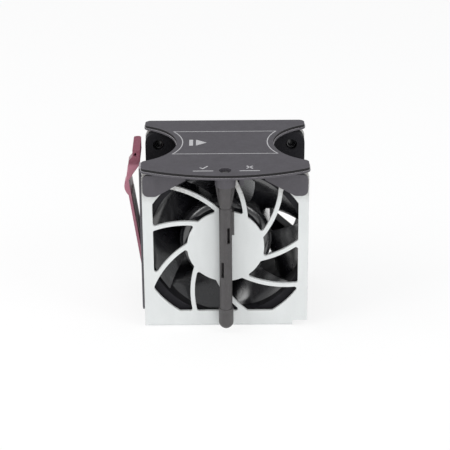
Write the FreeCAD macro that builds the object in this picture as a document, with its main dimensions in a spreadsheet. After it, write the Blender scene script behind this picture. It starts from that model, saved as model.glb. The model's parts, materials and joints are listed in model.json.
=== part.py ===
"""Hot-plug server fan module: a 60 mm axial fan in a bent steel bracket, with a finger handle,
a light pipe and a sprung latch lever.

Every piece is drawn in the fan's own frame: X to the right, Y from the guard's front face towards
the rear, Z up, with the rotor's axis along Y at X = Z = 0. Each finished piece then gets the same
Placement, which puts the origin at the middle of the bracket's underside.
"""
import FreeCAD
import Part
import Sketcher

import math
import os

doc = FreeCAD.newDocument("server_fan_module")

# ---------------------------------------------------------------- driving dimensions, mm and degrees

DIMENSIONS = {
    # axial fan
    "fan_size": 60.0,
    "fan_depth": 38.0,
    "fan_corner": 4.5,
    "flange_thick": 4.0,
    "duct_wall": 1.2,
    "bore_margin": 1.4,
    "hole_inset": 5.0,
    "hole_radius": 2.1,
    "strut_count": 8,
    "strut_thick": 1.2,
    "strut_skew": 8.5,
    "strut_phase": 3.0,
    "strut_depth": 6.5,
    "base_radius": 16.4,
    "base_depth": 9.8,
    "base_wall": 1.2,
    # bent sheet bracket
    "sheet_gauge": 1.0,
    "bend_radius": 1.2,
    "guard_corner": 3.0,
    "opening_over": 1.3,
    "rail_width": 3.7,
    "top_rail": 3.1,
    "disc_radius": 14.0,
    "spoke_count": 9,
    "spoke_width": 1.6,
    "spoke_arc": 35.1,
    "spoke_offset": 29.4,
    "spoke_phase": 80.9,
    "window_corner": 0.8,
    "notch_width": 5.4,
    "notch_rise": 2.3,
    "rear_rim": 1.6,
    # rubber isolators
    "front_pad": 1.4,
    "floor_pad": 1.7,
    "pad_radius": 3.6,
    # handle
    "handle_gap": 0.3,
    "handle_plate": 1.7,
    "handle_rim": 0.7,
    "rim_step": 0.3,
    "handle_reach": 9.0,
    "handle_end_reach": 2.2,
    "handle_tail": 2.4,
    "handle_corner": 2.2,
    "corner_share": 0.45,
    "grip_radius": 18.0,
    "grip_depth": 12.3,
    "grip_shift": 0.8,
    "ear_thick": 1.4,
    "ear_drop": 9.4,
    "ear_flat": 4.6,
    "ear_span": 15.4,
    "ear_corner": 2.2,
    "socket_radius": 3.7,
    "socket_drop": 4.0,
    "hook_drop": 6.6,
    "hook_width": 1.6,
    "hook_place": 5.9,
    "tongue_spread": 17.0,
    "tongue_width": 5.0,
    "tongue_drop": 4.5,
    "skirt_drop": 5.0,
    "fit_gap": 0.1,
    # side leg of the handle
    "leg_thick": 0.7,
    "leg_strip": 5.8,
    "leg_low": 26.5,
    "leg_pad_top": 13.0,
    "leg_pad_rail": 3.0,
    # light pipe
    "pipe_radius": 1.1,
    "pipe_hole": 2.2,
    "pipe_stand": 4.2,
    "cover_radius": 2.3,
    "cover_foot": 2.7,
    "cover_foot_low": 1.7,
    "cover_foot_rise": 8.4,
    "cover_head": 8.8,
    "cover_flange": 1.6,
    "cover_tab_low": 6.4,
    "cover_tab_high": 15.5,
    "cover_slot": 1.0,
    "cover_slot_length": 6.2,
    # latch
    "latch_width": 14.0,
    "hook_depth": 4.0,
    "latch_lean": 8.0,
    "arm_datum": 15.0,
    "arm_thick": 1.0,
    "arm_clear": 1.3,
    "tab_thick": 2.7,
    "tab_rise": 2.4,
    "tab_round": 1.2,
    "pivot_radius": 1.0,
    "pivot_inset": 1.8,
    "pivot_drop": 20.5,
    "knuckle_wall": 0.9,
    "pivot_fit": 0.05,
    "pivot_ear": 1.3,
    "leaf_thick": 0.35,
    "leaf_width": 9.0,
    # rotor
    "hub_radius": 16.8,
    "hub_gap": 0.7,
    "hub_wall": 1.2,
    "hub_setback": 1.5,
    "hub_round": 3.0,
    "blade_count": 7,
    "blade_thick": 1.1,
    "blade_edge": 0.5,
    "blade_phase": -14.0,
    "blade_root": 14.5,
    "blade_gap": 3.0,
    "blade_setback": 8.5,
    "blade_rake": 0.9,
    "blade_lead": 3.6,
    "blade_lead_sweep": 1.07,
    "blade_trail": 2.6,
    "blade_trail_sweep": 1.45,
    "blade_turn": 60.0,
    "tip_gap": 0.6,
    "yoke_wall": 1.0,
    "yoke_gap": 2.5,
    "magnet_wall": 1.8,
    "magnet_length": 16.0,
    # motor
    "air_gap": 0.4,
    "stack_length": 10.0,
    "pole_count": 4,
    "pole_width": 4.0,
    "pole_tip": 1.6,
    "coil_width": 2.2,
    "shaft_radius": 1.5,
    "bearing_radius": 4.0,
    "bearing_length": 4.0,
    "ball_radius": 0.75,
    "ball_play": 0.04,
    "spring_length": 1.2,
    "tube_wall": 1.0,
    "board_thick": 1.0,
    "board_gap": 0.6,
    "chip_gap": 1.0,
    "chip_side": 5.0,
    "hall_inset": 1.1,
    "hall_side": 3.0,
    "capacitor_gap": 2.4,
    "capacitor_radius": 2.2,
    # connector and leads
    "plug_width": 4.9,
    "plug_length": 20.0,
    "plug_height": 9.4,
    "plug_wall": 0.8,
    "plug_tongue": 4.0,
    "plug_tongue_thick": 1.5,
    "plug_screw": 0.8,
    "contact_count": 6,
    "contact_pitch": 2.54,
    "contact_low": 1.5,
    "contact_high": 3.0,
    "lead_radius": 0.5,
}

sheet = doc.addObject("Spreadsheet::Sheet", "dims")
for row, (alias, number) in enumerate(DIMENSIONS.items(), start=1):
    sheet.set(f"A{row}", alias)
    sheet.set(f"B{row}", str(number))
    sheet.setAlias(f"B{row}", alias)
doc.recompute()


class Size(float):
    """A number that remembers the sheet formula it was worked out with."""

    def __new__(cls, number, formula):
        made = float.__new__(cls, number)
        made.formula = formula
        return made

    def __add__(self, other):
        return Size(float(self) + float(other), f"({self.formula} + {formula_of(other)})")

    def __radd__(self, other):
        return Size(float(other) + float(self), f"({formula_of(other)} + {self.formula})")

    def __sub__(self, other):
        return Size(float(self) - float(other), f"({self.formula} - {formula_of(other)})")

    def __rsub__(self, other):
        return Size(float(other) - float(self), f"({formula_of(other)} - {self.formula})")

    def __mul__(self, other):
        return Size(float(self) * float(other), f"({self.formula} * {formula_of(other)})")

    __rmul__ = __mul__

    def __truediv__(self, other):
        return Size(float(self) / float(other), f"({self.formula} / {formula_of(other)})")

    def __neg__(self):
        return Size(-float(self), f"(0 - {self.formula})")


def formula_of(number):
    """The text that a FreeCAD expression needs for a sheet size or a plain number."""
    return number.formula if isinstance(number, Size) else repr(float(number))


class Dimensions:
    """The sheet's cells, read by name."""

    def __getattr__(self, alias):
        return Size(sheet.get(alias), f"dims.{alias}")


d = Dimensions()

# Planes that several pieces share.
half = d.fan_size / 2
fan_front = d.sheet_gauge + d.front_pad
fan_rear = fan_front + d.fan_depth
bracket_rear = fan_rear + d.sheet_gauge
handle_rear = bracket_rear + d.handle_tail
grip_centre = (handle_rear - d.handle_end_reach) / 2 + d.grip_shift
floor_top = -half - d.floor_pad
floor = floor_top - d.sheet_gauge
bore = half - d.bore_margin
duct_radius = bore + d.duct_wall
hole_place = half - d.hole_inset
handle_base = half + d.handle_gap
handle_top = handle_base + d.handle_plate
rear_flange = fan_rear - d.flange_thick
side = -half
# the connector stands in the corner pocket between the fan's flanges, low on the right
plug_right = half - d.fit_gap
plug_left = plug_right - d.plug_width
plug_rear = rear_flange - 0.8
plug_front = plug_rear - d.plug_length
plug_low = floor + d.fit_gap
plug_high = plug_low + d.plug_height
plug_screw_radius = d.plug_screw
plug_screw_line = plug_left - d.plug_tongue / 2
plug_screw_places = (plug_front + 3, plug_rear - 3)

# ---------------------------------------------------------------- modelling helpers


def bind(obj, prop, number):
    """Set a property and tie it to the sheet where the number came from there."""
    if isinstance(number, Size):
        obj.setExpression(prop, number.formula)
    else:
        setattr(obj, prop, number)


def move(obj, x=0, y=0, z=0):
    """Put an object at a place that follows the sheet."""
    for axis, number in zip("xyz", (x, y, z)):
        obj.setExpression(f"Placement.Base.{axis}", formula_of(number))
    return obj


def box(x, y, z, name="block"):
    """A block between two X, two Y and two Z planes."""
    obj = doc.addObject("Part::Box", name)
    for prop, (low, high) in zip(("Length", "Width", "Height"), (x, y, z)):
        bind(obj, prop, high - low)
    return move(obj, x[0], y[0], z[0])


AXIS_TURNS = {
    "X": FreeCAD.Rotation(FreeCAD.Vector(0, 1, 0), 90),
    "Y": FreeCAD.Rotation(FreeCAD.Vector(1, 0, 0), -90),
    "Z": FreeCAD.Rotation(),
}


def rod(radius, start, end, across=(0, 0), axis="Y", name="rod"):
    """A cylinder along one axis; across holds its place on the other two axes, in X, Y, Z order."""
    obj = doc.addObject("Part::Cylinder", name)
    bind(obj, "Radius", radius)
    bind(obj, "Height", end - start)
    place = list(across)
    place.insert("XYZ".index(axis), start)
    obj.Placement = FreeCAD.Placement(FreeCAD.Vector(), AXIS_TURNS[axis])
    return move(obj, *place)


def cut(base, *tools, name="cut"):
    """The base less one or more tools."""
    for tool in tools:
        obj = doc.addObject("Part::Cut", name)
        obj.Base = base
        obj.Tool = tool
        base = obj
    return base


def join(*pieces, name="join", refine=True):
    """Several solids fused into one, with flush faces merged where refine is set."""
    obj = doc.addObject("Part::MultiFuse", name)
    obj.Shapes = list(pieces)
    obj.Refine = refine
    return obj


def group(*pieces, name="group"):
    """Several separate solids kept together in one node."""
    obj = doc.addObject("Part::Compound", name)
    obj.Links = list(pieces)
    return obj


def ring(outer, inner, start, end, across=(0, 0), axis="Y", name="ring"):
    """A tube or washer along one axis."""
    return cut(rod(outer, start, end, across, axis), rod(inner, start, end, across, axis), name=name)


def shaped(shape, name):
    """A Part::Feature that holds a shape made with Part's own functions."""
    obj = doc.addObject("Part::Feature", name)
    obj.Shape = shape
    return obj


def vector(x, y, z):
    return FreeCAD.Vector(float(x), float(y), float(z))


def outline(points, plane, level):
    """A closed face through corner points; a point given as (middle, end) closes an arc.

    The plane is "XY", "XZ" or "YZ" and the level is the place on the remaining axis.
    """
    def lift(point):
        u, v = point
        return {"XY": vector(u, v, level), "XZ": vector(u, level, v), "YZ": vector(level, u, v)}[plane]

    edges = []
    here = points[0]
    for step in points[1:] + [points[0]]:
        if isinstance(step[0], tuple):
            middle, end = step
            edges.append(Part.Arc(lift(here), lift(middle), lift(end)).toShape())
        else:
            end = step
            edges.append(Part.LineSegment(lift(here), lift(end)).toShape())
        here = end
    return Part.Face(Part.Wire(edges))


def round_edges(shape, radius, wanted):
    """Round the edges of a shape for which wanted(middle, direction) is true."""
    chosen = []
    for edge in shape.Edges:
        if edge.Curve.TypeId != "Part::GeomLine":
            continue
        ends = [vertex.Point for vertex in edge.Vertexes]
        middle = (ends[0] + ends[1]) * 0.5
        if wanted(middle, (ends[1] - ends[0]).normalize()):
            chosen.append(edge)
    return shape.makeFillet(float(radius), chosen)


class Body:
    """A PartDesign body whose sketches lie on its own origin planes."""

    def __init__(self, name):
        self.body = doc.addObject("PartDesign::Body", name)

    def sketch(self, role="XZ_Plane", level=0):
        """A sketch on an origin plane, moved to a level along that plane's axis."""
        support = [plane for plane in self.body.Origin.OriginFeatures if plane.Role == role][0]
        made = self.body.newObject("Sketcher::SketchObject", "sketch")
        made.AttachmentSupport = [(support, "")]
        made.MapMode = "FlatFace"
        # the XZ plane's normal points to -Y
        offset = -level if role == "XZ_Plane" else level
        made.setExpression("AttachmentOffset.Base.z", formula_of(offset))
        return made

    def feature(self, kind, profile, length=None, **settings):
        """A pad, pocket or revolution of a sketch."""
        made = self.body.newObject(f"PartDesign::{kind}", kind.lower())
        made.Profile = profile
        if length is not None:
            bind(made, "Length", length)
        for prop, setting in settings.items():
            setattr(made, prop, setting)
        profile.Visibility = False
        doc.recompute()
        return made

    def pad(self, profile, length, back=True):
        """Pad towards +Y from an XZ sketch."""
        return self.feature("Pad", profile, length, Reversed=back)

    def pocket(self, profile, length):
        """Cut towards +Y from an XZ sketch, and make sure that something was removed."""
        before = self.body.Shape.Volume
        made = self.feature("Pocket", profile, length)
        if self.body.Shape.Volume > before - 0.01:
            raise ValueError(f"{made.Label} removes nothing")
        return made

    def repeat(self, feature, count):
        """Repeat a feature round the rotor's axis."""
        pattern = self.body.newObject("PartDesign::PolarPattern", "pattern")
        pattern.Originals = [feature]
        pattern.Axis = (feature.Profile[0], ["N_Axis"])
        pattern.Angle = 360
        bind(pattern, "Occurrences", count)
        self.body.Tip = pattern
        doc.recompute()
        return pattern

    def fillet(self, radius, wanted):
        """Round the straight edges for which wanted(middle, direction) is true."""
        names = []
        for index, edge in enumerate(self.body.Shape.Edges, start=1):
            if edge.Curve.TypeId != "Part::GeomLine":
                continue
            ends = [vertex.Point for vertex in edge.Vertexes]
            if wanted((ends[0] + ends[1]) * 0.5, (ends[1] - ends[0]).normalize()):
                names.append(f"Edge{index}")
        base = self.body.Tip
        made = self.body.newObject("PartDesign::Fillet", "fillet")
        made.Base = (base, names)
        bind(made, "Radius", radius)
        doc.recompute()
        return made


def sketch_circle(sketch, radius, u=0, v=0):
    """A circle whose radius and centre follow the sheet."""
    circle = sketch.addGeometry(Part.Circle(vector(u, v, 0), vector(0, 0, 1), float(radius)), False)
    index = sketch.addConstraint(Sketcher.Constraint("Radius", circle, float(radius)))
    sketch.setExpression(f"Constraints[{index}]", formula_of(radius))
    if u == 0 and v == 0:
        sketch.addConstraint(Sketcher.Constraint("Coincident", circle, 3, -1, 1))
        return
    for kind, place in (("DistanceX", u), ("DistanceY", v)):
        index = sketch.addConstraint(Sketcher.Constraint(kind, -1, 1, circle, 3, float(place)))
        sketch.setExpression(f"Constraints[{index}]", formula_of(place))


def sketch_polygon(sketch, points):
    """A closed polygon, each corner tied to the sheet by its two distances from the origin."""
    ends = points[1:] + points[:1]
    for start, end in zip(points, ends):
        sketch.addGeometry(Part.LineSegment(vector(*start, 0), vector(*end, 0)), False)
    count = len(points)
    for index in range(count):
        sketch.addConstraint(Sketcher.Constraint("Coincident", index, 2, (index + 1) % count, 1))
    for index, corner in enumerate(points):
        for kind, place in zip(("DistanceX", "DistanceY"), corner):
            number = sketch.addConstraint(Sketcher.Constraint(kind, -1, 1, index, 1, float(place)))
            sketch.setExpression(f"Constraints[{number}]", formula_of(place))


def sketch_rectangle(sketch, u, v):
    """A rectangle between two places on each axis."""
    sketch_polygon(sketch, [(u[0], v[0]), (u[1], v[0]), (u[1], v[1]), (u[0], v[1])])


NODES = []


def node(obj, name):
    """Register a finished piece: its label, and its place in the module's frame."""
    primitive = obj.TypeId in ("Part::Box", "Part::Cylinder")
    made = group(obj) if primitive else obj
    made.Label = name
    move(made, 0, -bracket_rear / 2, -floor)
    NODES.append(made)
    return made


# ---------------------------------------------------------------- steel bracket
# One strip of galvanised sheet bent into a U: guard in front, floor, and an open frame behind.


def polar(radius, degrees, centre=(0, 0)):
    """A point on the XZ plane at an angle from +X towards +Z."""
    angle = math.radians(degrees)
    return (centre[0] + radius * math.cos(angle), centre[1] + radius * math.sin(angle))


def turned(shape, degrees):
    """A copy of a shape turned about the rotor's axis, from +X towards +Z."""
    copy = shape.copy()
    copy.rotate(vector(0, 0, 0), vector(0, 1, 0), -degrees)
    return copy


def disc_face(radius):
    """A round face on the XZ plane, centred on the rotor's axis."""
    circle = Part.Circle(vector(0, 0, 0), vector(0, 1, 0), float(radius))
    return Part.Face(Part.Wire(circle.toShape()))


def guard_spoke():
    """One swirled spoke: a band along an arc whose centre stands off the rotor's axis."""
    centre = polar(d.spoke_offset, d.spoke_phase)
    inner = d.spoke_arc - d.spoke_width / 2
    outer = d.spoke_arc + d.spoke_width / 2
    nearest = d.spoke_phase + 180
    sweep = 65
    return outline([
        polar(inner, nearest, centre),
        (polar(inner, nearest + sweep / 2, centre), polar(inner, nearest + sweep, centre)),
        polar(outer, nearest + sweep, centre),
        (polar(outer, nearest + sweep / 2, centre), polar(outer, nearest, centre)),
    ], "XZ", 0)


def guard_windows():
    """The openings between the guard's swirled spokes, as solids that cut through the sheet."""
    rail = half - d.rail_width
    top = half - d.top_rail
    square = outline([(-rail, -rail), (rail, -rail), (rail, top), (-rail, top)], "XZ", 0)
    windows = disc_face(half + d.opening_over).common(square).cut(disc_face(d.disc_radius))
    spoke = guard_spoke()
    for index in range(int(d.spoke_count)):
        windows = windows.cut(turned(spoke, 360 / d.spoke_count * index))
    solids = []
    for window in windows.Faces:
        # shrinking and growing again rounds every corner
        rounded = window.makeOffset2D(-d.window_corner).makeOffset2D(float(d.window_corner))
        for face in rounded.Faces:
            face.translate(vector(0, -1, 0))
            solids.append(face.extrude(vector(0, d.sheet_gauge + 2, 0)))
    return shaped(Part.makeCompound(solids), "guard_windows")


def steel_bracket():
    sheet_body = Body("bracket_sheet")
    profile = sheet_body.sketch("YZ_Plane", -half)
    inner_front = d.sheet_gauge
    inner_rear = fan_rear
    sketch_polygon(profile, [
        (0.0, half),
        (0.0, floor),
        (bracket_rear, floor),
        (bracket_rear, half),
        (inner_rear, half),
        (inner_rear, floor_top),
        (inner_front, floor_top),
        (inner_front, half),
    ])
    sheet_body.feature("Pad", profile, d.fan_size)
    low = float(floor) + 0.01

    def outer_bend(middle, along):
        return abs(along.x) > 0.9 and middle.z < low

    def inner_bend(middle, along):
        return abs(along.x) > 0.9 and abs(middle.z - float(floor_top)) < 0.01

    def top_corner(middle, along):
        return abs(along.y) > 0.9 and abs(middle.z - float(half)) < 0.01

    sheet_body.fillet(d.bend_radius, outer_bend)
    sheet_body.fillet(d.bend_radius - d.sheet_gauge, inner_bend)
    sheet_body.fillet(d.guard_corner, top_corner)

    # the floor is cut back on the right, where the connector faces down past its edge
    notch = sheet_body.sketch("XZ_Plane", -1)
    sketch_rectangle(notch, (half - d.notch_width, half + 1), (floor - 1, floor + d.notch_rise))
    sheet_body.pocket(notch, bracket_rear + 2)

    # air outlet and the screw clearance holes of the rear frame
    outlet = sheet_body.sketch("XZ_Plane", fan_rear - 1)
    sketch_circle(outlet, half - d.rear_rim)
    sheet_body.pocket(outlet, d.sheet_gauge + 2)
    hole = sheet_body.sketch("XZ_Plane", fan_rear - 1)
    sketch_circle(hole, d.hole_radius, hole_place, hole_place)
    drilled = sheet_body.pocket(hole, d.sheet_gauge + 2)
    sheet_body.repeat(drilled, 4)

    screw_holes = []
    for y in plug_screw_places:
        screw_holes.append(rod(plug_screw_radius, floor - 1, floor_top + 1, (plug_screw_line, y), "Z"))
    return cut(sheet_body.body, guard_windows(), *screw_holes)


node(steel_bracket(), "steel_bracket")

# ---------------------------------------------------------------- rubber isolators
# Grommet rings between the guard and the fan, and strips under its two flanges.


def corner_places():
    """The fan's four screw places on the XZ plane."""
    return [(sx * hole_place, sz * hole_place) for sx in (-1, 1) for sz in (-1, 1)]


pads = [ring(d.pad_radius, d.hole_radius, d.sheet_gauge, fan_front, place) for place in corner_places()]
node(group(*pads), "corner_isolators")

strips = []
for flange_start in (fan_front, rear_flange):
    strips.append(box((side + 5, half - 9), (flange_start + 0.6, flange_start + d.flange_thick - 0.6),
                      (floor_top, floor_top + d.floor_pad)))
node(group(*strips), "floor_isolators")

# ---------------------------------------------------------------- fan frame
# Two square flanges joined by a round duct, with a motor base carried on skewed struts.


def reach(radius, offset):
    """How far a line that passes the rotor's axis at an offset runs before it meets a radius."""
    return math.sqrt(radius ** 2 - offset ** 2)


def turn_point(point, degrees):
    """A point on the XZ plane, turned about the rotor's axis."""
    angle = math.radians(degrees)
    x, z = point
    return (x * math.cos(angle) - z * math.sin(angle), x * math.sin(angle) + z * math.cos(angle))


def fan_frame():
    frame = Body("fan_frame_body")
    for start in (fan_front, rear_flange):
        flange = frame.sketch("XZ_Plane", start)
        sketch_rectangle(flange, (-half, half), (-half, half))
        frame.pad(flange, d.flange_thick)
        if start is fan_front:
            duct = frame.sketch("XZ_Plane", fan_front)
            sketch_circle(duct, duct_radius)
            frame.pad(duct, d.fan_depth)

    def flange_corner(middle, along):
        return abs(along.y) > 0.9 and abs(abs(middle.x) - half) < 0.01 and abs(abs(middle.z) - half) < 0.01

    frame.fillet(d.fan_corner, flange_corner)
    bore_sketch = frame.sketch("XZ_Plane", fan_front - 1)
    sketch_circle(bore_sketch, bore)
    frame.pocket(bore_sketch, d.fan_depth + 2)
    hole = frame.sketch("XZ_Plane", fan_front - 1)
    sketch_circle(hole, d.hole_radius, hole_place, hole_place)
    frame.repeat(frame.pocket(hole, d.fan_depth + 2), 4)

    # motor base: a shallow cup that opens towards the rotor
    base = frame.sketch("XZ_Plane", base_front)
    sketch_circle(base, d.base_radius)
    frame.pad(base, d.base_depth)
    strut_top = d.strut_skew + d.strut_thick
    inside = reach(d.base_radius - d.base_wall / 4, strut_top)
    outside = reach(bore + d.duct_wall / 2, strut_top)
    corners = [(inside, d.strut_skew), (outside, d.strut_skew), (outside, strut_top), (inside, strut_top)]
    strut = frame.sketch("XZ_Plane", strut_front)
    sketch_polygon(strut, [turn_point(corner, d.strut_phase) for corner in corners])
    frame.repeat(frame.pad(strut, d.strut_depth), d.strut_count)
    cup = frame.sketch("XZ_Plane", base_front - 1)
    sketch_circle(cup, d.base_radius - d.base_wall)
    frame.pocket(cup, d.base_depth - d.base_wall + 1)
    boss = frame.sketch("XZ_Plane", base_floor - 3)
    sketch_circle(boss, tube_radius + d.base_wall)
    frame.pad(boss, 3.0 + d.base_wall / 2)
    seat = frame.sketch("XZ_Plane", base_floor - 4)
    sketch_circle(seat, tube_radius)
    frame.pocket(seat, 4)

    # the leads leave through one slot in the base and one in the duct, beside a strut
    slot_low = d.strut_skew - d.lead_radius * 2 - 0.4
    slots = []
    for inner, outer in ((d.base_radius - d.base_wall, d.base_radius), (bore, duct_radius)):
        start = reach(inner, d.strut_skew) - 0.6
        end = reach(outer, slot_low) + 0.4
        slot = Part.makeBox(end - start, lead_span + 0.4, d.strut_skew - slot_low,
                            vector(start, lead_first - d.lead_radius - 0.2, slot_low))
        slots.append(turned(slot, lead_angle))
    return cut(frame.body, shaped(Part.makeCompound(slots), "lead_slots"))


tube_radius = d.bearing_radius + d.tube_wall
base_front = fan_rear - d.base_depth
base_floor = fan_rear - d.base_wall
strut_front = fan_rear - d.strut_depth - 0.5
board_front = base_front + 0.4
board_rear = board_front + d.board_thick
lead_count = 4
lead_pitch = d.lead_radius * 2 + 0.05
lead_first = board_rear + d.lead_radius + 0.15
lead_span = d.lead_radius * 2 + lead_pitch * (lead_count - 1)
lead_angle = d.strut_phase - 360 / d.strut_count
node(fan_frame(), "fan_frame")

# push rivets through the rear flange and the bracket, in the two upper holes
rivet_head = d.hole_radius + 1.4
rivets = []
for x in (-hole_place, hole_place):
    shank = rod(d.hole_radius - 0.05, rear_flange + 1.2, bracket_rear, (x, hole_place))
    head = rod(rivet_head, bracket_rear, bracket_rear + 1.0, (x, hole_place))
    rivets.append(join(shank, head))
node(group(*rivets), "fan_rivets")

# ---------------------------------------------------------------- motor, fixed half

hub_front = fan_front + d.hub_setback
yoke_front = hub_front + d.hub_wall
yoke_rear = base_front - d.yoke_gap
blade_depth = base_front - d.blade_gap - hub_front
yoke_radius = d.hub_radius - d.hub_wall
magnet_radius = yoke_radius - d.yoke_wall
magnet_front = yoke_front + d.yoke_wall + 4
stator_radius = magnet_radius - d.magnet_wall - d.air_gap
stack_front = magnet_front + (d.magnet_length - d.stack_length) / 2
stack_rear = stack_front + d.stack_length
tube_front = yoke_front + d.yoke_wall + 2.2
bearing_fronts = (tube_front + 0.3, base_floor - d.bearing_length - 2.4)
boss_rear = bearing_fronts[0]

node(ring(tube_radius, d.bearing_radius, tube_front, base_floor), "bearing_tube")


def raceway(start):
    """The ball track of a bearing that starts at a Y place, as a torus to cut from both rings."""
    torus = doc.addObject("Part::Torus", "raceway")
    bind(torus, "Radius1", ball_circle)
    bind(torus, "Radius2", d.ball_radius + d.ball_play)
    torus.Placement = FreeCAD.Placement(FreeCAD.Vector(), AXIS_TURNS["Y"])
    return move(torus, 0, start + d.bearing_length / 2, 0)


ball_circle = (d.shaft_radius + d.bearing_radius) / 2
outer_rings = []
inner_rings = []
balls = []
for start in bearing_fronts:
    end = start + d.bearing_length
    outer_rings.append(cut(ring(d.bearing_radius, ball_circle + 0.45, start, end), raceway(start)))
    inner_rings.append(cut(ring(ball_circle - 0.45, d.shaft_radius, start, end), raceway(start)))
    for index in range(7):
        x, z = polar(ball_circle, index * 360 / 7)
        ball = doc.addObject("Part::Sphere", "ball")
        bind(ball, "Radius", d.ball_radius)
        balls.append(move(ball, x, start + d.bearing_length / 2, z))
node(group(*outer_rings), "bearing_outer_rings")
node(group(*balls), "bearing_balls")

spacer_front = bearing_fronts[0] + d.bearing_length
spring_front = bearing_fronts[1] - d.spring_length
node(ring(d.bearing_radius, ball_circle + 0.45, spacer_front, spring_front), "bearing_spacer")
node(ring(d.bearing_radius - 0.1, ball_circle + 0.6, spring_front, bearing_fronts[1]), "preload_spring")


def pole_sleeve(inner_grow, outer_grow, start, end):
    """A rectangular sleeve round one stator pole, between two offsets from the pole's sides."""
    spans = []
    for grow in (outer_grow, inner_grow):
        wide = d.pole_width / 2 + grow
        spans.append(Part.makeBox(end - start, d.stack_length + grow * 2, wide * 2,
                                  vector(start, stack_front - grow, -wide)))
    return spans[0].cut(spans[1])


def stator_shapes():
    """The laminated core, its moulded insulators and the copper coils."""
    pitch = 360 / d.pole_count
    along = vector(0, d.stack_length, 0)
    front = vector(0, stack_front, 0)
    yoke = tube_radius + 2.2
    rim = stator_radius - d.pole_tip
    core = Part.makeCylinder(yoke, d.stack_length, front, vector(0, 1, 0))
    shoes = Part.makeCylinder(stator_radius, d.stack_length, front, vector(0, 1, 0))
    shoes = shoes.cut(Part.makeCylinder(rim, d.stack_length, front, vector(0, 1, 0)))
    wide = d.pole_width / 2
    insulators = []
    coils = []
    # a sleeve's flat end stops short of the shoe's round inside
    coil_half = wide + 0.4 + d.coil_width
    coil_end = math.sqrt(rim ** 2 - coil_half ** 2) - 0.2
    insulator_end = math.sqrt(rim ** 2 - (wide + 0.4) ** 2) - 0.1
    for index in range(int(d.pole_count)):
        gap = Part.makeBox(stator_radius, d.stack_length + 2, 2, vector(0, stack_front - 1, -1))
        shoes = shoes.cut(turned(gap, pitch * (index + 0.5)))
        pole = Part.makeBox(rim + 0.4, d.stack_length, wide * 2, vector(0, stack_front, -wide))
        core = core.fuse(turned(pole, pitch * index))
        insulators.append(turned(pole_sleeve(0, 0.4, yoke + 0.1, insulator_end), pitch * index))
        coils.append(turned(pole_sleeve(0.4, 0.4 + d.coil_width, yoke + 0.6, coil_end), pitch * index))
    core = core.fuse(shoes)
    core = core.cut(Part.makeCylinder(tube_radius, along.y, front, vector(0, 1, 0))).removeSplitter()
    return core, Part.makeCompound(insulators), Part.makeCompound(coils)


core_shape, insulator_shape, coil_shape = stator_shapes()
node(shaped(core_shape, "stator_core_shape"), "stator_core")
node(shaped(insulator_shape, "insulator_shape"), "stator_insulators")
node(shaped(coil_shape, "coil_shape"), "stator_coils")

board_radius = d.base_radius - d.base_wall - d.board_gap
chip_inside = tube_radius + d.chip_gap
hall_outside = board_radius - d.hall_inset
capacitor_place = tube_radius + d.capacitor_gap + d.capacitor_radius
board = ring(board_radius, tube_radius, board_front, board_rear)
node(board, "motor_board")
node(box((-chip_inside - d.chip_side, -chip_inside), (board_rear, board_rear + 1.6),
         (-d.chip_side / 2, d.chip_side / 2)), "driver_chip")
node(box((-d.hall_side / 2, d.hall_side / 2), (board_front - 1.0, board_front),
         (hall_outside - d.hall_side, hall_outside)), "hall_sensor")
node(rod(d.capacitor_radius, board_rear, board_rear + 4.5, (0, capacitor_place)), "filter_capacitor")

# ---------------------------------------------------------------- rotor


def blade_section(level):
    """A cambered blade section on a plane at one distance from the rotor's axis.

    Its mean line leaves the leading edge nearly flat to the air and turns towards the axis.
    """
    out = level - d.blade_root
    lead = (hub_front + d.blade_setback - d.blade_rake * out, d.blade_lead + d.blade_lead_sweep * out)
    trail = (hub_front + blade_depth, -d.blade_trail - d.blade_trail_sweep * out)
    along = (trail[0] - lead[0], trail[1] - lead[1])
    chord = math.hypot(*along)
    bow = chord / 2 * math.tan(math.radians(d.blade_turn) / 4)

    def place(share, offset):
        return (lead[0] + along[0] * share + along[1] / chord * offset,
                lead[1] + along[1] * share - along[0] / chord * offset)

    thick = d.blade_thick / 2
    edge = d.blade_edge / 2
    face = outline([
        place(0, edge),
        (place(0.5, bow + thick), place(1, edge)),
        place(1, -edge),
        (place(0.5, bow - thick), place(0, -edge)),
    ], "YZ", level)
    return face.OuterWire


def impeller_shape():
    """The blades, trimmed to the hub's wall and the tip circle."""
    levels = (d.blade_root, (d.blade_root + bore) / 2, bore + 0.5)
    blade = Part.makeLoft([blade_section(level) for level in levels], True, False)
    depth = blade_depth + 4
    front = vector(0, hub_front, 0)
    annulus = Part.makeCylinder(bore - d.tip_gap, depth, front, vector(0, 1, 0))
    annulus = annulus.cut(Part.makeCylinder(d.hub_radius - d.hub_wall / 2, depth, front, vector(0, 1, 0)))
    blade = blade.common(annulus)
    pitch = 360 / d.blade_count
    return [turned(blade, d.blade_phase + pitch * index) for index in range(int(d.blade_count))]


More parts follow.
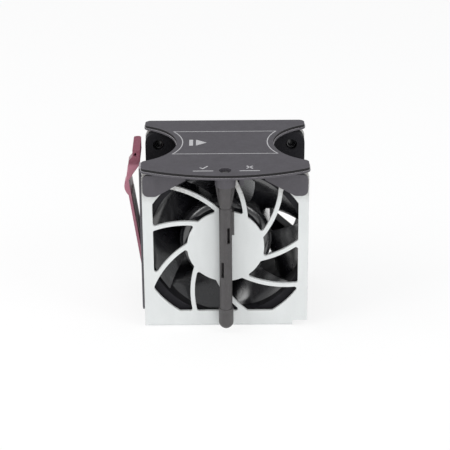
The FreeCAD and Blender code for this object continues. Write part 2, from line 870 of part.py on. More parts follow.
def impeller():
    hub = Body("hub_cup")
    profile = hub.sketch("XY_Plane")
    rear = base_front - d.hub_gap
    sketch_polygon(profile, [
        (2.0, hub_front),
        (d.hub_radius, hub_front),
        (d.hub_radius, rear),
        (yoke_radius, rear),
        (yoke_radius, yoke_front),
        (2.0, yoke_front),
    ])
    hub.feature("Revolution", profile, ReferenceAxis=(profile, ["V_Axis"]), Angle=360)
    turned_cup = hub.body.Tip
    edges = []
    for index, edge in enumerate(hub.body.Shape.Edges, start=1):
        circle = edge.Curve.TypeId == "Part::GeomCircle"
        if circle and abs(edge.Curve.Radius - d.hub_radius) < 0.01 and edge.Curve.Center.y < hub_front + 0.01:
            edges.append(f"Edge{index}")
    shoulder = hub.body.newObject("PartDesign::Fillet", "shoulder")
    shoulder.Base = (turned_cup, edges)
    bind(shoulder, "Radius", d.hub_round)
    hub.body.Tip = shoulder
    doc.recompute()
    blades = []
    for blade in impeller_shape():
        blades.append(shaped(blade, "blade"))
    return join(hub.body, *blades, refine=False)


node(impeller(), "impeller")

yoke = cut(rod(yoke_radius, yoke_front, yoke_rear),
           rod(magnet_radius, yoke_front + d.yoke_wall, yoke_rear),
           rod(2.2, yoke_front, yoke_front + d.yoke_wall))
node(yoke, "rotor_yoke")
node(ring(magnet_radius, magnet_radius - d.magnet_wall, magnet_front, magnet_front + d.magnet_length),
     "magnet_ring")

boss = join(rod(2.0, hub_front, yoke_front), rod(2.2, yoke_front, boss_rear))
node(cut(boss, rod(d.shaft_radius, hub_front, boss_rear)), "shaft_boss")

clip_front = bearing_fronts[1] + d.bearing_length + 0.1
shaft = cut(rod(d.shaft_radius, hub_front, base_floor - 0.5),
            ring(d.shaft_radius, 1.1, clip_front - 0.05, clip_front + 0.5))
node(shaft, "rotor_shaft")
clip = cut(ring(2.5, 1.1, clip_front, clip_front + 0.4), box((0, 3), (clip_front, clip_front + 0.4), (-0.7, 0.7)))
node(clip, "retaining_clip")
node(group(*inner_rings), "bearing_inner_rings")

# ---------------------------------------------------------------- handle


def handle_outline(level):
    """The plan of the handle: bowed front edge, square rear edge and a finger cut-out each side."""
    front_half = half
    rear_half = half
    waist = half - d.grip_depth
    grip = waist + d.grip_radius

    def grip_end(width, way):
        return grip_centre + way * math.sqrt(d.grip_radius ** 2 - (grip - width) ** 2)

    return outline([
        (-front_half, -d.handle_end_reach),
        ((0, -d.handle_reach), (front_half, -d.handle_end_reach)),
        (front_half, grip_end(front_half, -1)),
        ((waist, grip_centre), (rear_half, grip_end(rear_half, 1))),
        (rear_half, handle_rear),
        (-rear_half, handle_rear),
        (-rear_half, grip_end(rear_half, 1)),
        ((-waist, grip_centre), (-front_half, grip_end(front_half, -1))),
    ], "XY", level)


def handle_top_plate():
    """The handle's plate with rounded corners, standing on a rim that steps out all round."""
    level = handle_base + d.handle_rim
    slab = handle_outline(level).extrude(vector(0, 0, handle_top - level))
    outer_line = half - 3

    def outer_corner(middle, along):
        return abs(along.z) > 0.9 and abs(middle.x) > outer_line

    # the cut-out leaves a bar in front of it and one behind it, and a corner keeps to its bar's end
    ends = [abs(edge.Vertexes[0].Y - edge.Vertexes[1].Y) for edge in slab.Edges
            if abs(edge.Vertexes[0].X - half) < 0.01 and abs(edge.Vertexes[-1].X - half) < 0.01]
    shortest_end = min(length for length in ends if length > 0.01)
    slab = round_edges(slab, min(d.handle_corner, shortest_end * d.corner_share), outer_corner)
    under = [face for face in slab.Faces if face.CenterOfMass.z < level + 0.01][0]
    rim = under.makeOffset2D(float(d.rim_step)).extrude(vector(0, 0, -d.handle_rim))
    return slab.fuse(rim)


def handle_ear(way):
    """A gusset plate in front of the guard's upper corner; way is -1 on the left, 1 on the right."""
    outer = half - 0.4
    low = half - d.ear_drop
    top = half - 1.1
    inner = outer - d.ear_span
    joint = outer - 5.5
    corners = [
        (outer, low),
        (outer - d.ear_flat, low),
        (inner, top - 2.0),
        (inner, handle_base + 0.5),
        (joint, handle_base + 0.5),
        (joint, top),
        (outer, top),
    ]
    face = outline([(way * u, v) for u, v in corners], "XZ", -0.1 - d.ear_thick)
    plate = face.extrude(vector(0, d.ear_thick, 0))

    def low_corner(middle, along):
        return abs(along.y) > 0.9 and (abs(middle.x) > outer - 0.01 or middle.z < low + 0.01)

    return round_edges(plate, d.ear_corner, low_corner)


def handle_leg():
    """The side leg: a strip down the fan's left side that widens into a pad for the latch pivot."""
    outer = side - d.fit_gap - d.leg_thick
    pad_top = -d.leg_pad_top
    strip_rear = 0.2 + d.leg_strip
    window_front = latch_front - 0.4
    window_rear = latch_rear + 0.4
    window_low = -d.pivot_drop - 2.4
    face = outline([
        (0.2, handle_base + d.handle_rim),
        (0.2, -d.leg_low + 2),
        (2.2, -d.leg_low),
        (window_rear + d.leg_pad_rail, -d.leg_low),
        (window_rear + d.leg_pad_rail, pad_top),
        (window_rear, pad_top),
        (window_rear, window_low),
        (window_front, window_low),
        (window_front, pad_top),
        (strip_rear, pad_top + 5),
        (strip_rear, handle_base + d.handle_rim),
    ], "YZ", outer)
    leg = face.extrude(vector(d.leg_thick, 0, 0))

    def soft_corner(middle, along):
        return abs(along.x) > 0.9 and middle.z < handle_base - 1

    leg = round_edges(leg, 0.8, soft_corner)
    ears = []
    for start in (latch_front - 0.1 - d.pivot_ear, latch_rear + 0.1):
        ear = Part.makeCylinder(pivot_wall, d.pivot_ear, vector(pivot_x, start, pivot_z), vector(0, 1, 0))
        web = Part.makeBox(pivot_x - outer, d.pivot_ear, pivot_wall * 2,
                           vector(outer, start, pivot_z - pivot_wall))
        hole = Part.makeCylinder(d.pivot_radius, d.pivot_ear, vector(pivot_x, start, pivot_z), vector(0, 1, 0))
        ears.append(ear.fuse(web).cut(hole))
    return leg.fuse(ears)


def handle_hooks():
    """A snap hook and two tongues behind the guard's top rail, and a skirt behind the rear frame."""
    front = d.sheet_gauge + d.fit_gap
    left = d.hook_place - d.hook_width / 2
    low = handle_base - d.hook_drop
    rail_low = half - d.top_rail - 0.7
    hooks = [Part.makeBox(d.hook_width, 0.9, d.hook_drop, vector(left, front, low))]
    barb = outline([(front, rail_low), (front - 0.7, rail_low), (front, low)], "YZ", left)
    hooks.append(barb.extrude(vector(d.hook_width, 0, 0)))
    for x in (-d.tongue_spread, d.tongue_spread):
        corner = vector(x - d.tongue_width / 2, front, handle_base - d.tongue_drop)
        hooks.append(Part.makeBox(d.tongue_width, 0.9, d.tongue_drop, corner))
    # the skirt ends beside the heads of the rivets
    wide = hole_place - rivet_head - 0.5
    hooks.append(Part.makeBox(wide * 2, d.handle_tail - 1.0, d.skirt_drop,
                              vector(-wide, bracket_rear + d.fit_gap, handle_base - d.skirt_drop)))
    return hooks


def handle():
    socket = Part.makeCylinder(d.socket_radius, d.socket_drop + 0.3,
                               vector(0, -d.pipe_stand, handle_base - d.socket_drop))
    solid = handle_top_plate().fuse([socket, handle_ear(-1), handle_ear(1), handle_leg()] + handle_hooks())
    bore_low = handle_base - d.socket_drop
    light_hole = Part.makeCylinder(d.pipe_hole, handle_top - bore_low, vector(0, -d.pipe_stand, bore_low))
    return shaped(solid.cut(light_hole).removeSplitter(), "handle_shape")


# ---------------------------------------------------------------- latch

latch_front = grip_centre - d.latch_width / 2 - 1.0
latch_rear = latch_front + d.latch_width
pivot_x = side + d.pivot_inset
pivot_z = -d.pivot_drop
pivot_wall = d.pivot_radius + d.knuckle_wall

node(handle(), "handle")
node(rod(d.pivot_radius, latch_front - 0.1 - d.pivot_ear, latch_rear + 0.1 + d.pivot_ear, (pivot_x, pivot_z)),
     "latch_pin")


def arm_place(z, inside=0.0):
    """The X place of the arm's outer face at a height, or that far in from it."""
    foot = side - d.arm_clear
    return foot - math.tan(math.radians(d.latch_lean)) * (z + d.arm_datum) + inside


def latch_lever():
    """The thin arm with its finger tab on top, the hook in front of it and the knuckle at its foot."""
    grip_low = half - 9.3
    tab_outer = side - 0.9 - d.tab_thick
    tab_inner = side - 0.9
    tab_top = half + d.tab_rise
    tab_low = tab_top - 4.4
    arm_low = -half / 2
    hook_low = arm_place(grip_low)
    arm = outline([
        (arm_place(arm_low), arm_low),
        (hook_low, grip_low),
        (tab_outer - 0.9, tab_low - 4.0),
        (tab_outer, tab_low),
        (tab_inner, tab_low),
        (side - 1.3, tab_low - 1.6),
        (side - 2.4, tab_low - 3.1),
        (arm_place(grip_low, d.arm_thick), grip_low),
        (arm_place(arm_low, d.arm_thick), arm_low),
        (pivot_x + 0.4, pivot_z + 1.4),
        (pivot_x - 1.0, pivot_z - 0.2),
    ], "XZ", latch_front).extrude(vector(0, d.latch_width, 0))
    hook = outline([
        (arm_place(grip_low - 6), grip_low - 6),
        ((arm_place(grip_low - 2) - 0.9, grip_low - 2.3), (hook_low, grip_low)),
        (side - 5.5, tab_low - 3.5),
        (side - 5.1, tab_low + 0.2),
        (tab_outer, tab_low + 2.1),
        (tab_outer + 0.5, tab_low + 2.1),
        (tab_outer + 0.5, tab_low - 4.0),
        (arm_place(grip_low, 0.5), grip_low - 1),
        (arm_place(grip_low - 6, 0.5), grip_low - 6),
    ], "XZ", latch_front).extrude(vector(0, d.hook_depth, 0))
    tab = Part.makeBox(d.tab_thick, d.latch_width, tab_top - tab_low, vector(tab_outer, latch_front, tab_low))

    def tab_end(middle, along):
        return abs(along.z) > 0.9 and middle.y > latch_front + 1

    tab = round_edges(tab, d.tab_round, tab_end)
    notch = outline([
        (tab_outer + 0.2, tab_top - 1.8),
        (tab_outer + 1.3, tab_top - 0.8),
        (tab_outer + 1.4, tab_top - 2.5),
    ], "XZ", latch_front - 1)
    tab = tab.cut(notch.extrude(vector(0, d.latch_width + 2, 0)))
    knuckle = Part.makeCylinder(pivot_wall - 0.1, d.latch_width, vector(pivot_x, latch_front, pivot_z),
                                vector(0, 1, 0))
    pin_hole = Part.makeCylinder(d.pivot_radius + d.pivot_fit, d.latch_width + 2,
                                 vector(pivot_x, latch_front - 1, pivot_z), vector(0, 1, 0))
    lever = arm.fuse([hook, tab, knuckle]).cut(pin_hole).removeSplitter()
    return shaped(lever, "lever_shape")


node(latch_lever(), "latch_lever")


def latch_leaf():
    """A spring-steel leaf along the inside of the arm."""
    inset = d.arm_thick
    low = -13.0
    high = 14.0
    face = outline([
        (arm_place(low, inset), low),
        (arm_place(high, inset), high),
        (arm_place(high, inset + d.leaf_thick), high),
        (arm_place(low, inset + d.leaf_thick), low),
    ], "XZ", grip_centre - 1.0 - d.leaf_width / 2)
    return shaped(face.extrude(vector(0, d.leaf_width, 0)), "leaf_shape")


node(latch_leaf(), "latch_leaf")

# ---------------------------------------------------------------- light pipe and its cover


def light_pipe_cover():
    """A round shaft with a foot, a funnel under the handle's socket and a flange behind it."""
    head_top = handle_base - d.socket_drop
    head_low = head_top - d.cover_head
    foot_low = floor + d.cover_foot_low
    foot_top = foot_low + d.cover_foot_rise
    place = (0, -d.pipe_stand)
    shaft_piece = rod(d.cover_radius, foot_low + d.cover_foot, head_low, place, "Z")
    back = box((-d.cover_radius + 0.6, d.cover_radius - 0.6), (-d.pipe_stand, -d.fit_gap),
               (foot_low + d.cover_foot, head_low + 0.5))
    foot = rod(d.cover_foot, foot_low + d.cover_foot, foot_top, place, "Z")
    tip = doc.addObject("Part::Sphere", "tip")
    bind(tip, "Radius", d.cover_foot)
    move(tip, 0, -d.pipe_stand, foot_low + d.cover_foot)
    head = doc.addObject("Part::Cone", "head")
    bind(head, "Radius1", d.cover_radius - 0.25)
    bind(head, "Radius2", d.cover_radius + 0.35)
    bind(head, "Height", d.cover_head)
    move(head, 0, -d.pipe_stand, head_low)
    wide = d.cover_radius + 1.1
    flange = outline([
        (-d.cover_radius, head_low - 0.5),
        (d.cover_radius, head_low - 0.5),
        (wide, head_top - 2.5),
        (wide, head_top),
        (-wide, head_top),
        (-wide, head_top - 2.5),
    ], "XZ", -d.fit_gap - d.cover_flange)
    flange = shaped(flange.extrude(vector(0, d.cover_flange, 0)), "head_flange")
    tab = box((d.cover_radius - 0.4, d.cover_radius + 0.8), (-d.pipe_stand + 0.5, -d.fit_gap),
              (d.cover_tab_low, d.cover_tab_high))
    web = box((-d.cover_radius + 0.6, d.cover_radius - 0.6), (-d.pipe_stand, -d.fit_gap), (head_low, head_top))
    solid = join(shaft_piece, back, foot, tip, head, web, flange, tab)
    bore_tool = rod(d.pipe_radius + 0.15, floor, head_top, place, "Z")
    slots = []
    for x, low in ((1.05, 4.1), (-1.2, -9.7)):
        slots.append(box((x - d.cover_slot / 2, x + d.cover_slot / 2), (-d.pipe_stand - 5, -d.pipe_stand),
                         (low, low + d.cover_slot_length)))
    return cut(solid, bore_tool, *slots)


node(light_pipe_cover(), "light_pipe_cover")
node(rod(d.pipe_radius, floor + d.cover_foot_low + 0.2, handle_top - 0.8, (0, -d.pipe_stand), "Z"), "light_pipe")

# ---------------------------------------------------------------- connector and leads


def connector_housing():
    shell = box((plug_left, plug_right), (plug_front, plug_rear), (plug_low, plug_high))
    tongue = box((plug_left - d.plug_tongue, plug_left), (plug_front, plug_rear),
                 (floor_top, floor_top + d.plug_tongue_thick))
    mouth = box((plug_left + d.plug_wall, plug_right - d.plug_wall),
                (plug_front + d.plug_wall, plug_rear - d.plug_wall),
                (plug_low, plug_high - 3.0))
    holes = []
    for y in plug_screw_places:
        holes.append(rod(plug_screw_radius, floor_top, floor_top + d.plug_tongue_thick, (plug_screw_line, y), "Z"))
    return cut(join(shell, tongue), mouth, *holes)


node(connector_housing(), "connector_housing")

contacts = []
contact_centre = (plug_front + plug_rear) / 2
contact_x = (plug_left + plug_right) / 2
for index in range(int(d.contact_count)):
    y = contact_centre + (index - (int(d.contact_count) - 1) / 2) * d.contact_pitch
    contacts.append(box((contact_x - 0.3, contact_x + 0.3), (y - 0.32, y + 0.32),
                        (plug_low + d.contact_low, plug_high - d.contact_high)))
node(group(*contacts), "connector_contacts")

screws = []
tongue_top = floor_top + d.plug_tongue_thick
for y in plug_screw_places:
    shank = rod(plug_screw_radius, floor + 0.1, tongue_top, (plug_screw_line, y), "Z")
    head = rod(plug_screw_radius * 2, tongue_top, tongue_top + 0.8, (plug_screw_line, y), "Z")
    screws.append(join(shank, head))
node(group(*screws), "connector_screws")


def lead(level):
    """One lead: along a strut, out through the duct and down into the connector."""
    offset = d.strut_skew - d.lead_radius - 0.1
    angle = math.radians(lead_angle)

    def along(distance):
        return vector(distance * math.cos(angle) - offset * math.sin(angle), level,
                      distance * math.sin(angle) + offset * math.cos(angle))

    drop_x = plug_right - d.lead_radius - 0.9
    bend_at = (drop_x + offset * math.sin(angle)) / math.cos(angle)
    start = along(reach(d.base_radius - d.base_wall, offset) - 1.2)
    corner = along(bend_at)
    end = vector(drop_x, level, plug_high)
    drop = corner.z - end.z
    turn = math.radians(90) + angle
    back = 0.45 * drop
    arc_start = corner - (corner - start).normalize() * back
    arc_end = corner + vector(0, 0, -back)
    radius = back / math.tan(turn / 2)
    centre = arc_end + vector(-radius, 0, 0)
    outward = (corner - centre).normalize()
    path = Part.Wire([
        Part.LineSegment(start, arc_start).toShape(),
        Part.Arc(arc_start, centre + outward * radius, arc_end).toShape(),
        Part.LineSegment(arc_end, end).toShape(),
    ])
    circle = Part.Circle(start, (corner - start).normalize(), float(d.lead_radius)).toShape()
    return path.makePipeShell([Part.Wire(circle)], True, True)


leads = [lead(lead_first + lead_pitch * index) for index in range(lead_count)]
node(shaped(Part.makeCompound(leads), "lead_shapes"), "lead_wires")

# ---------------------------------------------------------------- check and write

doc.recompute()
for obj in doc.Objects:
    if "Invalid" in obj.State or "Error" in obj.State:
        raise ValueError(f"{obj.Name} ({obj.Label}) failed: {obj.State}")
os.makedirs("parts", exist_ok=True)
for obj in NODES:
    if obj.Shape.isNull() or not obj.Shape.isValid():
        raise ValueError(f"{obj.Label} has no valid shape")
    obj.Shape.exportStep(f"parts/{obj.Label}.step")
    print(f"{obj.Label:22s} solids {len(obj.Shape.Solids):3d}  volume {obj.Shape.Volume:9.1f}")
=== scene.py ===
"""Looks of a hot-plug server fan module: a 60 mm axial fan in a bent steel bracket, with a grey
finger handle, a light pipe under its cover and a burgundy latch lever.

Lengths are in metres, and the sizes of pieces in mm, which are worked into metres where a mesh or a
finish is made. The sections follow the module as it is put together on the bench.
"""

import json
import math

import bmesh
import bpy
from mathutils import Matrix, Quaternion, Vector


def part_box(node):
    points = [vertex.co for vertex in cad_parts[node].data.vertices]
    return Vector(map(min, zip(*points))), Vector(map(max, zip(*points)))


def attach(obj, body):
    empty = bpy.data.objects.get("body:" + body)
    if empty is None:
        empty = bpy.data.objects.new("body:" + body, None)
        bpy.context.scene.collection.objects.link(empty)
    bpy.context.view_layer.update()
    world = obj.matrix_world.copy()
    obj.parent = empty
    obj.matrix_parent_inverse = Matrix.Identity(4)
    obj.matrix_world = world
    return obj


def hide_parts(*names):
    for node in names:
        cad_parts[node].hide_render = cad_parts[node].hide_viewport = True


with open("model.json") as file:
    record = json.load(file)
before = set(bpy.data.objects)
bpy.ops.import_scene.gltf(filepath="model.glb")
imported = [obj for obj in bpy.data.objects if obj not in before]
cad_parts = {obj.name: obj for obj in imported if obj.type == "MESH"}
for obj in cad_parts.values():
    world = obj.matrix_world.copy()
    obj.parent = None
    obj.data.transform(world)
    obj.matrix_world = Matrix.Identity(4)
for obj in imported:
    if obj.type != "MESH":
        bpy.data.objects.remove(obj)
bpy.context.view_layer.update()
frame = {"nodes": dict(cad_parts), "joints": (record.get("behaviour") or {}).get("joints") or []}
scene = bpy.context.scene

# ================================================================ camera
# A long lens stands a good half metre in front of the guard and looks down on the handle, with a
# slight lean. Its axis meets the guard's face a little over the rotor's axis.

guard_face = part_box("steel_bracket")[0].y
aim = Vector((-0.0002, guard_face, 0.0414))
look_down = math.radians(25.19)
stand_off = 0.606
lean = math.radians(0.416)
focal_length = 134.3
sight = 20.0

camera_data = bpy.data.cameras.new("studio_camera")
camera_data.sensor_width = 36.0
camera_data.lens = focal_length
camera_data.clip_end = sight
studio_camera = bpy.data.objects.new("studio_camera", camera_data)
scene.collection.objects.link(studio_camera)
studio_camera.location = aim + stand_off * Vector((0, -math.cos(look_down), math.sin(look_down)))
facing = (aim - studio_camera.location).to_track_quat("-Z", "Y")
studio_camera.rotation_mode = "QUATERNION"
studio_camera.rotation_quaternion = facing @ Quaternion((0, 0, 1), -lean)
scene.camera = studio_camera
scene.view_settings.view_transform = "Standard"

# ================================================================ floor and lights
# The module stands on a white paper sweep under a large soft lamp, with one lamp on each side and
# one in front that leaves no highlight. The sweep and the room's air are lighter to the lens than
# to the surfaces, so the ground stays white and still takes a shadow.

floor_side = 6.0
floor_level = -0.0001
sweep_white = (0.92, 0.92, 0.925, 1)
paper_white = (1.0, 1.0, 1.0, 1)
lens_white = 0.8
air_tint = (0.97, 0.985, 1.0, 1)
air_for_surfaces = 0.40
air_for_lens = 1.05


def seen_by_lens(tree, *others):
    """A socket that is 1 for the lens's own rays and for the other kinds of ray that are named."""
    path = tree.nodes.new("ShaderNodeLightPath")
    total = path.outputs["Is Camera Ray"]
    for name in others:
        most = tree.nodes.new("ShaderNodeMath")
        most.operation = "MAXIMUM"
        tree.links.new(total, most.inputs[0])
        tree.links.new(path.outputs[name], most.inputs[1])
        total = most.outputs[0]
    return total


bpy.ops.mesh.primitive_plane_add(size=floor_side, location=(0, 0, floor_level))
sweep = bpy.context.object
sweep.name = "sweep"
sweep_paper = bpy.data.materials.new("sweep_paper")
sweep_paper.use_nodes = True
tree = sweep_paper.node_tree
paper = tree.nodes["Principled BSDF"]
paper.inputs["Roughness"].default_value = 0.9
paper.inputs["Specular IOR Level"].default_value = 0.0
tint = tree.nodes.new("ShaderNodeMix")
tint.data_type = "RGBA"
tint.inputs["A"].default_value = sweep_white
tint.inputs["B"].default_value = paper_white
lens = seen_by_lens(tree, "Is Glossy Ray", "Is Transmission Ray")
tree.links.new(lens, tint.inputs["Factor"])
tree.links.new(tint.outputs["Result"], paper.inputs["Base Color"])
glow = tree.nodes.new("ShaderNodeEmission")
share = tree.nodes.new("ShaderNodeMath")
share.operation = "MULTIPLY"
share.inputs[1].default_value = lens_white
sheet = tree.nodes.new("ShaderNodeMixShader")
tree.links.new(lens, share.inputs[0])
tree.links.new(share.outputs[0], sheet.inputs[0])
tree.links.new(paper.outputs[0], sheet.inputs[1])
tree.links.new(glow.outputs[0], sheet.inputs[2])
tree.links.new(sheet.outputs[0], tree.nodes["Material Output"].inputs["Surface"])
sweep.data.materials.append(sweep_paper)

world = bpy.data.worlds.new("studio_air")
scene.world = world
world.use_nodes = True
tree = world.node_tree
air = tree.nodes["Background"]
air.inputs["Color"].default_value = air_tint
strength = tree.nodes.new("ShaderNodeMix")
strength.inputs["A"].default_value = air_for_surfaces
strength.inputs["B"].default_value = air_for_lens
tree.links.new(seen_by_lens(tree, "Is Transmission Ray"), strength.inputs["Factor"])
tree.links.new(strength.outputs["Result"], air.inputs["Strength"])

# each lamp's place, width and watts
LAMPS = {
    "top_lamp": ((0.0, -0.05, 0.95), 0.9, 2.2),
    "left_lamp": ((-0.80, -0.30, 0.70), 0.70, 5.2),
    "right_lamp": ((0.75, -0.45, 0.65), 0.45, 2.6),
    "front_lamp": ((0.30, -1.05, 0.33), 0.5, 3.2),
}
for lamp_name, (place, width, watts) in LAMPS.items():
    lamp = bpy.data.lights.new(lamp_name, "AREA")
    lamp.size = width
    lamp.energy = watts
    holder = bpy.data.objects.new(lamp_name, lamp)
    scene.collection.objects.link(holder)
    holder.location = place
    holder.visible_glossy = lamp_name != "front_lamp"
    holder.rotation_mode = "QUATERNION"
    holder.rotation_quaternion = (aim - Vector(place)).to_track_quat("-Z", "Y")

# ================================================================ steel bracket
# One blank of zinc-coated steel sheet, punched with the nine-armed guard and bent up at the front
# and the rear. The sheet is rolled, then coated, which leaves a fine grain and faint spangles; the
# punch leaves a darker, slightly broken edge round each window.

mm = 0.001
# what every finish has in common: its clear coat, its uneven gloss, its relief and its dust
coat_rough = 0.22
gloss_spread = 0.06
gloss_share = 0.6
relief_share = 0.2
speck_share = 0.14
# the size of the flecks that break up painted shade
painted_shade_fleck = 1.1 * mm
# what counts as one point, one plane, a sharp edge and a smooth one on a copied CAD mesh
same_spot = 0.002 * mm
same_plane = math.radians(0.6)
sharp_edge = math.radians(40)
smooth_below = math.radians(24)


def link_noise(tree, size, detail=2.0, stretch=(1, 1, 1)):
    """A noise of a given grain size in metres, on Object coordinates."""
    place = tree.nodes.new("ShaderNodeTexCoord")
    spread = tree.nodes.new("ShaderNodeMapping")
    spread.inputs["Scale"].default_value = stretch
    noise = tree.nodes.new("ShaderNodeTexNoise")
    noise.inputs["Scale"].default_value = 1 / size
    noise.inputs["Detail"].default_value = detail
    tree.links.new(place.outputs["Object"], spread.inputs["Vector"])
    tree.links.new(spread.outputs["Vector"], noise.inputs["Vector"])
    return noise.outputs["Fac"]


def link_range(tree, source, low, high, first=0.3, last=0.7):
    """The source between first and last, spread between two values."""
    spread = tree.nodes.new("ShaderNodeMapRange")
    spread.inputs["From Min"].default_value = first
    spread.inputs["From Max"].default_value = last
    spread.inputs["To Min"].default_value = low
    spread.inputs["To Max"].default_value = high
    tree.links.new(source, spread.inputs["Value"])
    return spread.outputs["Result"]


def link_colours(tree, source, first, second):
    """The source as a mix of two colours."""
    mix = tree.nodes.new("ShaderNodeMix")
    mix.data_type = "RGBA"
    mix.inputs["A"].default_value = (*first, 1)
    mix.inputs["B"].default_value = (*second, 1)
    tree.links.new(source, mix.inputs["Factor"])
    return mix.outputs["Result"]


def finish_of(name, first, second, patch, grain, rough, bump, metallic=0.0, stretch=(1, 1, 1),
              coat=0.0, specular=0.5, dust=0.0, dust_colour=(0.45, 0.44, 0.43)):
    """A material with a mottled colour, an uneven gloss, a fine grain and a little settled dust.

    The patch is the mottle's size and the grain the relief's, both in mm.
    """
    patch, grain = patch * mm, grain * mm
    made = bpy.data.materials.new(name)
    made.use_nodes = True
    tree = made.node_tree
    shader = tree.nodes["Principled BSDF"]
    shader.inputs["Metallic"].default_value = metallic
    shader.inputs["Coat Weight"].default_value = coat
    shader.inputs["Coat Roughness"].default_value = coat_rough
    shader.inputs["Specular IOR Level"].default_value = specular
    mottle = link_range(tree, link_noise(tree, patch, 3.0, stretch), 0.0, 1.0)
    colour = link_colours(tree, mottle, first, second)
    if dust:
        specks = link_range(tree, link_noise(tree, patch * speck_share, 5.0), 0.0, dust, 0.52, 0.74)
        blend = tree.nodes.new("ShaderNodeMix")
        blend.data_type = "RGBA"
        blend.inputs["B"].default_value = (*dust_colour, 1)
        tree.links.new(specks, blend.inputs["Factor"])
        tree.links.new(colour, blend.inputs["A"])
        colour = blend.outputs["Result"]
    tree.links.new(colour, shader.inputs["Base Color"])
    gloss = link_range(tree, link_noise(tree, patch * gloss_share, 2.0, stretch),
                       rough - gloss_spread, rough + gloss_spread)
    tree.links.new(gloss, shader.inputs["Roughness"])
    relief = tree.nodes.new("ShaderNodeBump")
    relief.inputs["Strength"].default_value = bump
    relief.inputs["Distance"].default_value = grain * relief_share
    tree.links.new(link_noise(tree, grain, 4.0, stretch), relief.inputs["Height"])
    tree.links.new(relief.outputs["Normal"], shader.inputs["Normal"])
    return made


def painted_shade_by_height(finish, low, high, colour, most, least=0.35):
    """Paint shade onto a finish: broken darkening that grows from one height to another, both in mm."""
    tree = finish.node_tree
    shader = tree.nodes["Principled BSDF"]
    clean = shader.inputs["Base Color"].links[0].from_socket
    place = tree.nodes.new("ShaderNodeTexCoord")
    split = tree.nodes.new("ShaderNodeSeparateXYZ")
    tree.links.new(place.outputs["Object"], split.inputs["Vector"])
    height = link_range(tree, split.outputs["Z"], 0.0, most, low * mm, high * mm)
    broken = link_range(tree, link_noise(tree, painted_shade_fleck, 4.0), least, 1.0, 0.4, 0.62)
    share = tree.nodes.new("ShaderNodeMath")
    share.operation = "MULTIPLY"
    tree.links.new(height, share.inputs[0])
    tree.links.new(broken, share.inputs[1])
    blend = tree.nodes.new("ShaderNodeMix")
    blend.data_type = "RGBA"
    blend.inputs["B"].default_value = (*colour, 1)
    tree.links.new(share.outputs["Value"], blend.inputs["Factor"])
    tree.links.new(clean, blend.inputs["A"])
    tree.links.new(blend.outputs["Result"], shader.inputs["Base Color"])


def coat(node, finish):
    """Give a carried-over CAD node one finish."""
    slots = frame["nodes"][node].data.materials
    slots.clear()
    slots.append(finish)


def settle(piece, body, slot, *nodes):
    """Tie a finished piece to its body and hide the CAD nodes that it stands for. The slot is not used.
    """
    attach(piece, body)
    if nodes:
        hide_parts(*nodes)


def placed(name, mesh, *finishes):
    """A new object at the origin for a finished mesh."""
    for finish in finishes:
        mesh.materials.append(finish)
    piece = bpy.data.objects.new(name, mesh)
    scene.collection.objects.link(piece)
    return piece


def applied(piece):
    """The piece with its modifiers worked into a plain mesh."""
    bpy.context.view_layer.update()
    graph = bpy.context.evaluated_depsgraph_get()
    mesh = bpy.data.meshes.new_from_object(piece.evaluated_get(graph))
    piece.modifiers.clear()
    old = piece.data
    piece.data = mesh
    bpy.data.meshes.remove(old)
    return piece


def eased(name, node, finishes, width, rings=1, paint=None):
    """A copy of a CAD node with its sharp edges broken by a width in mm.

    The finishes are its skin's, its edges' and any others, which paint picks for a face.
    """
    mesh = frame["nodes"][node].data.copy()
    mesh.materials.clear()
    form = bmesh.new()
    form.from_mesh(mesh)
    bmesh.ops.remove_doubles(form, verts=form.verts, dist=same_spot)
    bmesh.ops.dissolve_limit(form, angle_limit=same_plane, verts=form.verts, edges=form.edges)
    for face in form.faces:
        face.material_index = paint(face) if paint else 0
        face.smooth = True
    form.to_mesh(mesh)
    form.free()
    piece = placed(name, mesh, *finishes)
    ease = piece.modifiers.new("broken_edges", "BEVEL")
    ease.width = width * mm
    ease.segments = rings
    ease.limit_method = "ANGLE"
    ease.angle_limit = sharp_edge
    ease.material = 1
    ease.use_clamp_overlap = True
    applied(piece)
    piece.data.set_sharp_from_angle(angle=smooth_below)
    return piece


zinc_sheet = finish_of(
    "zinc_sheet", (0.748, 0.768, 0.763), (0.712, 0.732, 0.727), patch=4, grain=0.4, rough=0.50,
    bump=0.22, metallic=0.12, stretch=(1, 1, 0.35), dust=0.10, dust_colour=(0.55, 0.54, 0.53))
punched_edge = finish_of(
    "punched_edge", (0.42, 0.40, 0.38), (0.30, 0.28, 0.26), patch=2, grain=0.2, rough=0.45,
    bump=0.4, metallic=0.5)
# painted shade and reflection of the handle: the sheet darkens in broken flecks from 50 mm up to 59 mm
painted_shade_by_height(zinc_sheet, 50, 59, (0.30, 0.27, 0.25), most=0.85)
bracket = eased("bracket_sheet", "steel_bracket", (zinc_sheet, punched_edge), 0.12)
settle(bracket, "module", "galvanised_sheet", "steel_bracket")

# ================================================================ rubber isolators
# Soft pads between the fan and its bracket: one at each corner of the guard and two under the fan.
# They are moulded in black rubber with a dull, slightly dusty skin.

isolator_rubber = finish_of(
    "isolator_rubber", (0.018, 0.018, 0.019), (0.028, 0.028, 0.029), patch=2, grain=0.3, rough=0.75,
    bump=0.3, dust=0.12)
coat("corner_isolators", isolator_rubber)
coat("floor_isolators", isolator_rubber)

# ================================================================ fan frame
# The frame is one moulding in glass-filled black plastic: two square flanges, the round duct
# between them, and the motor base on its slanted struts. Its skin is smooth, with faint flow marks.

fan_black = finish_of(
    "fan_black", (0.0160, 0.0157, 0.0185), (0.0220, 0.0216, 0.0250), patch=5, grain=0.22,
    rough=0.55, bump=0.18, specular=0.12, dust=0.05, dust_colour=(0.12, 0.115, 0.115))
fan_edge = finish_of(
    "fan_edge", (0.016, 0.016, 0.018), (0.024, 0.0235, 0.026), patch=2, grain=0.2, rough=0.45,
    bump=0.1, specular=0.25)
frame_moulding = eased("frame_moulding", "fan_frame", (fan_black, fan_edge), 0.18)
settle(frame_moulding, "module", "black_plastic", "fan_frame")

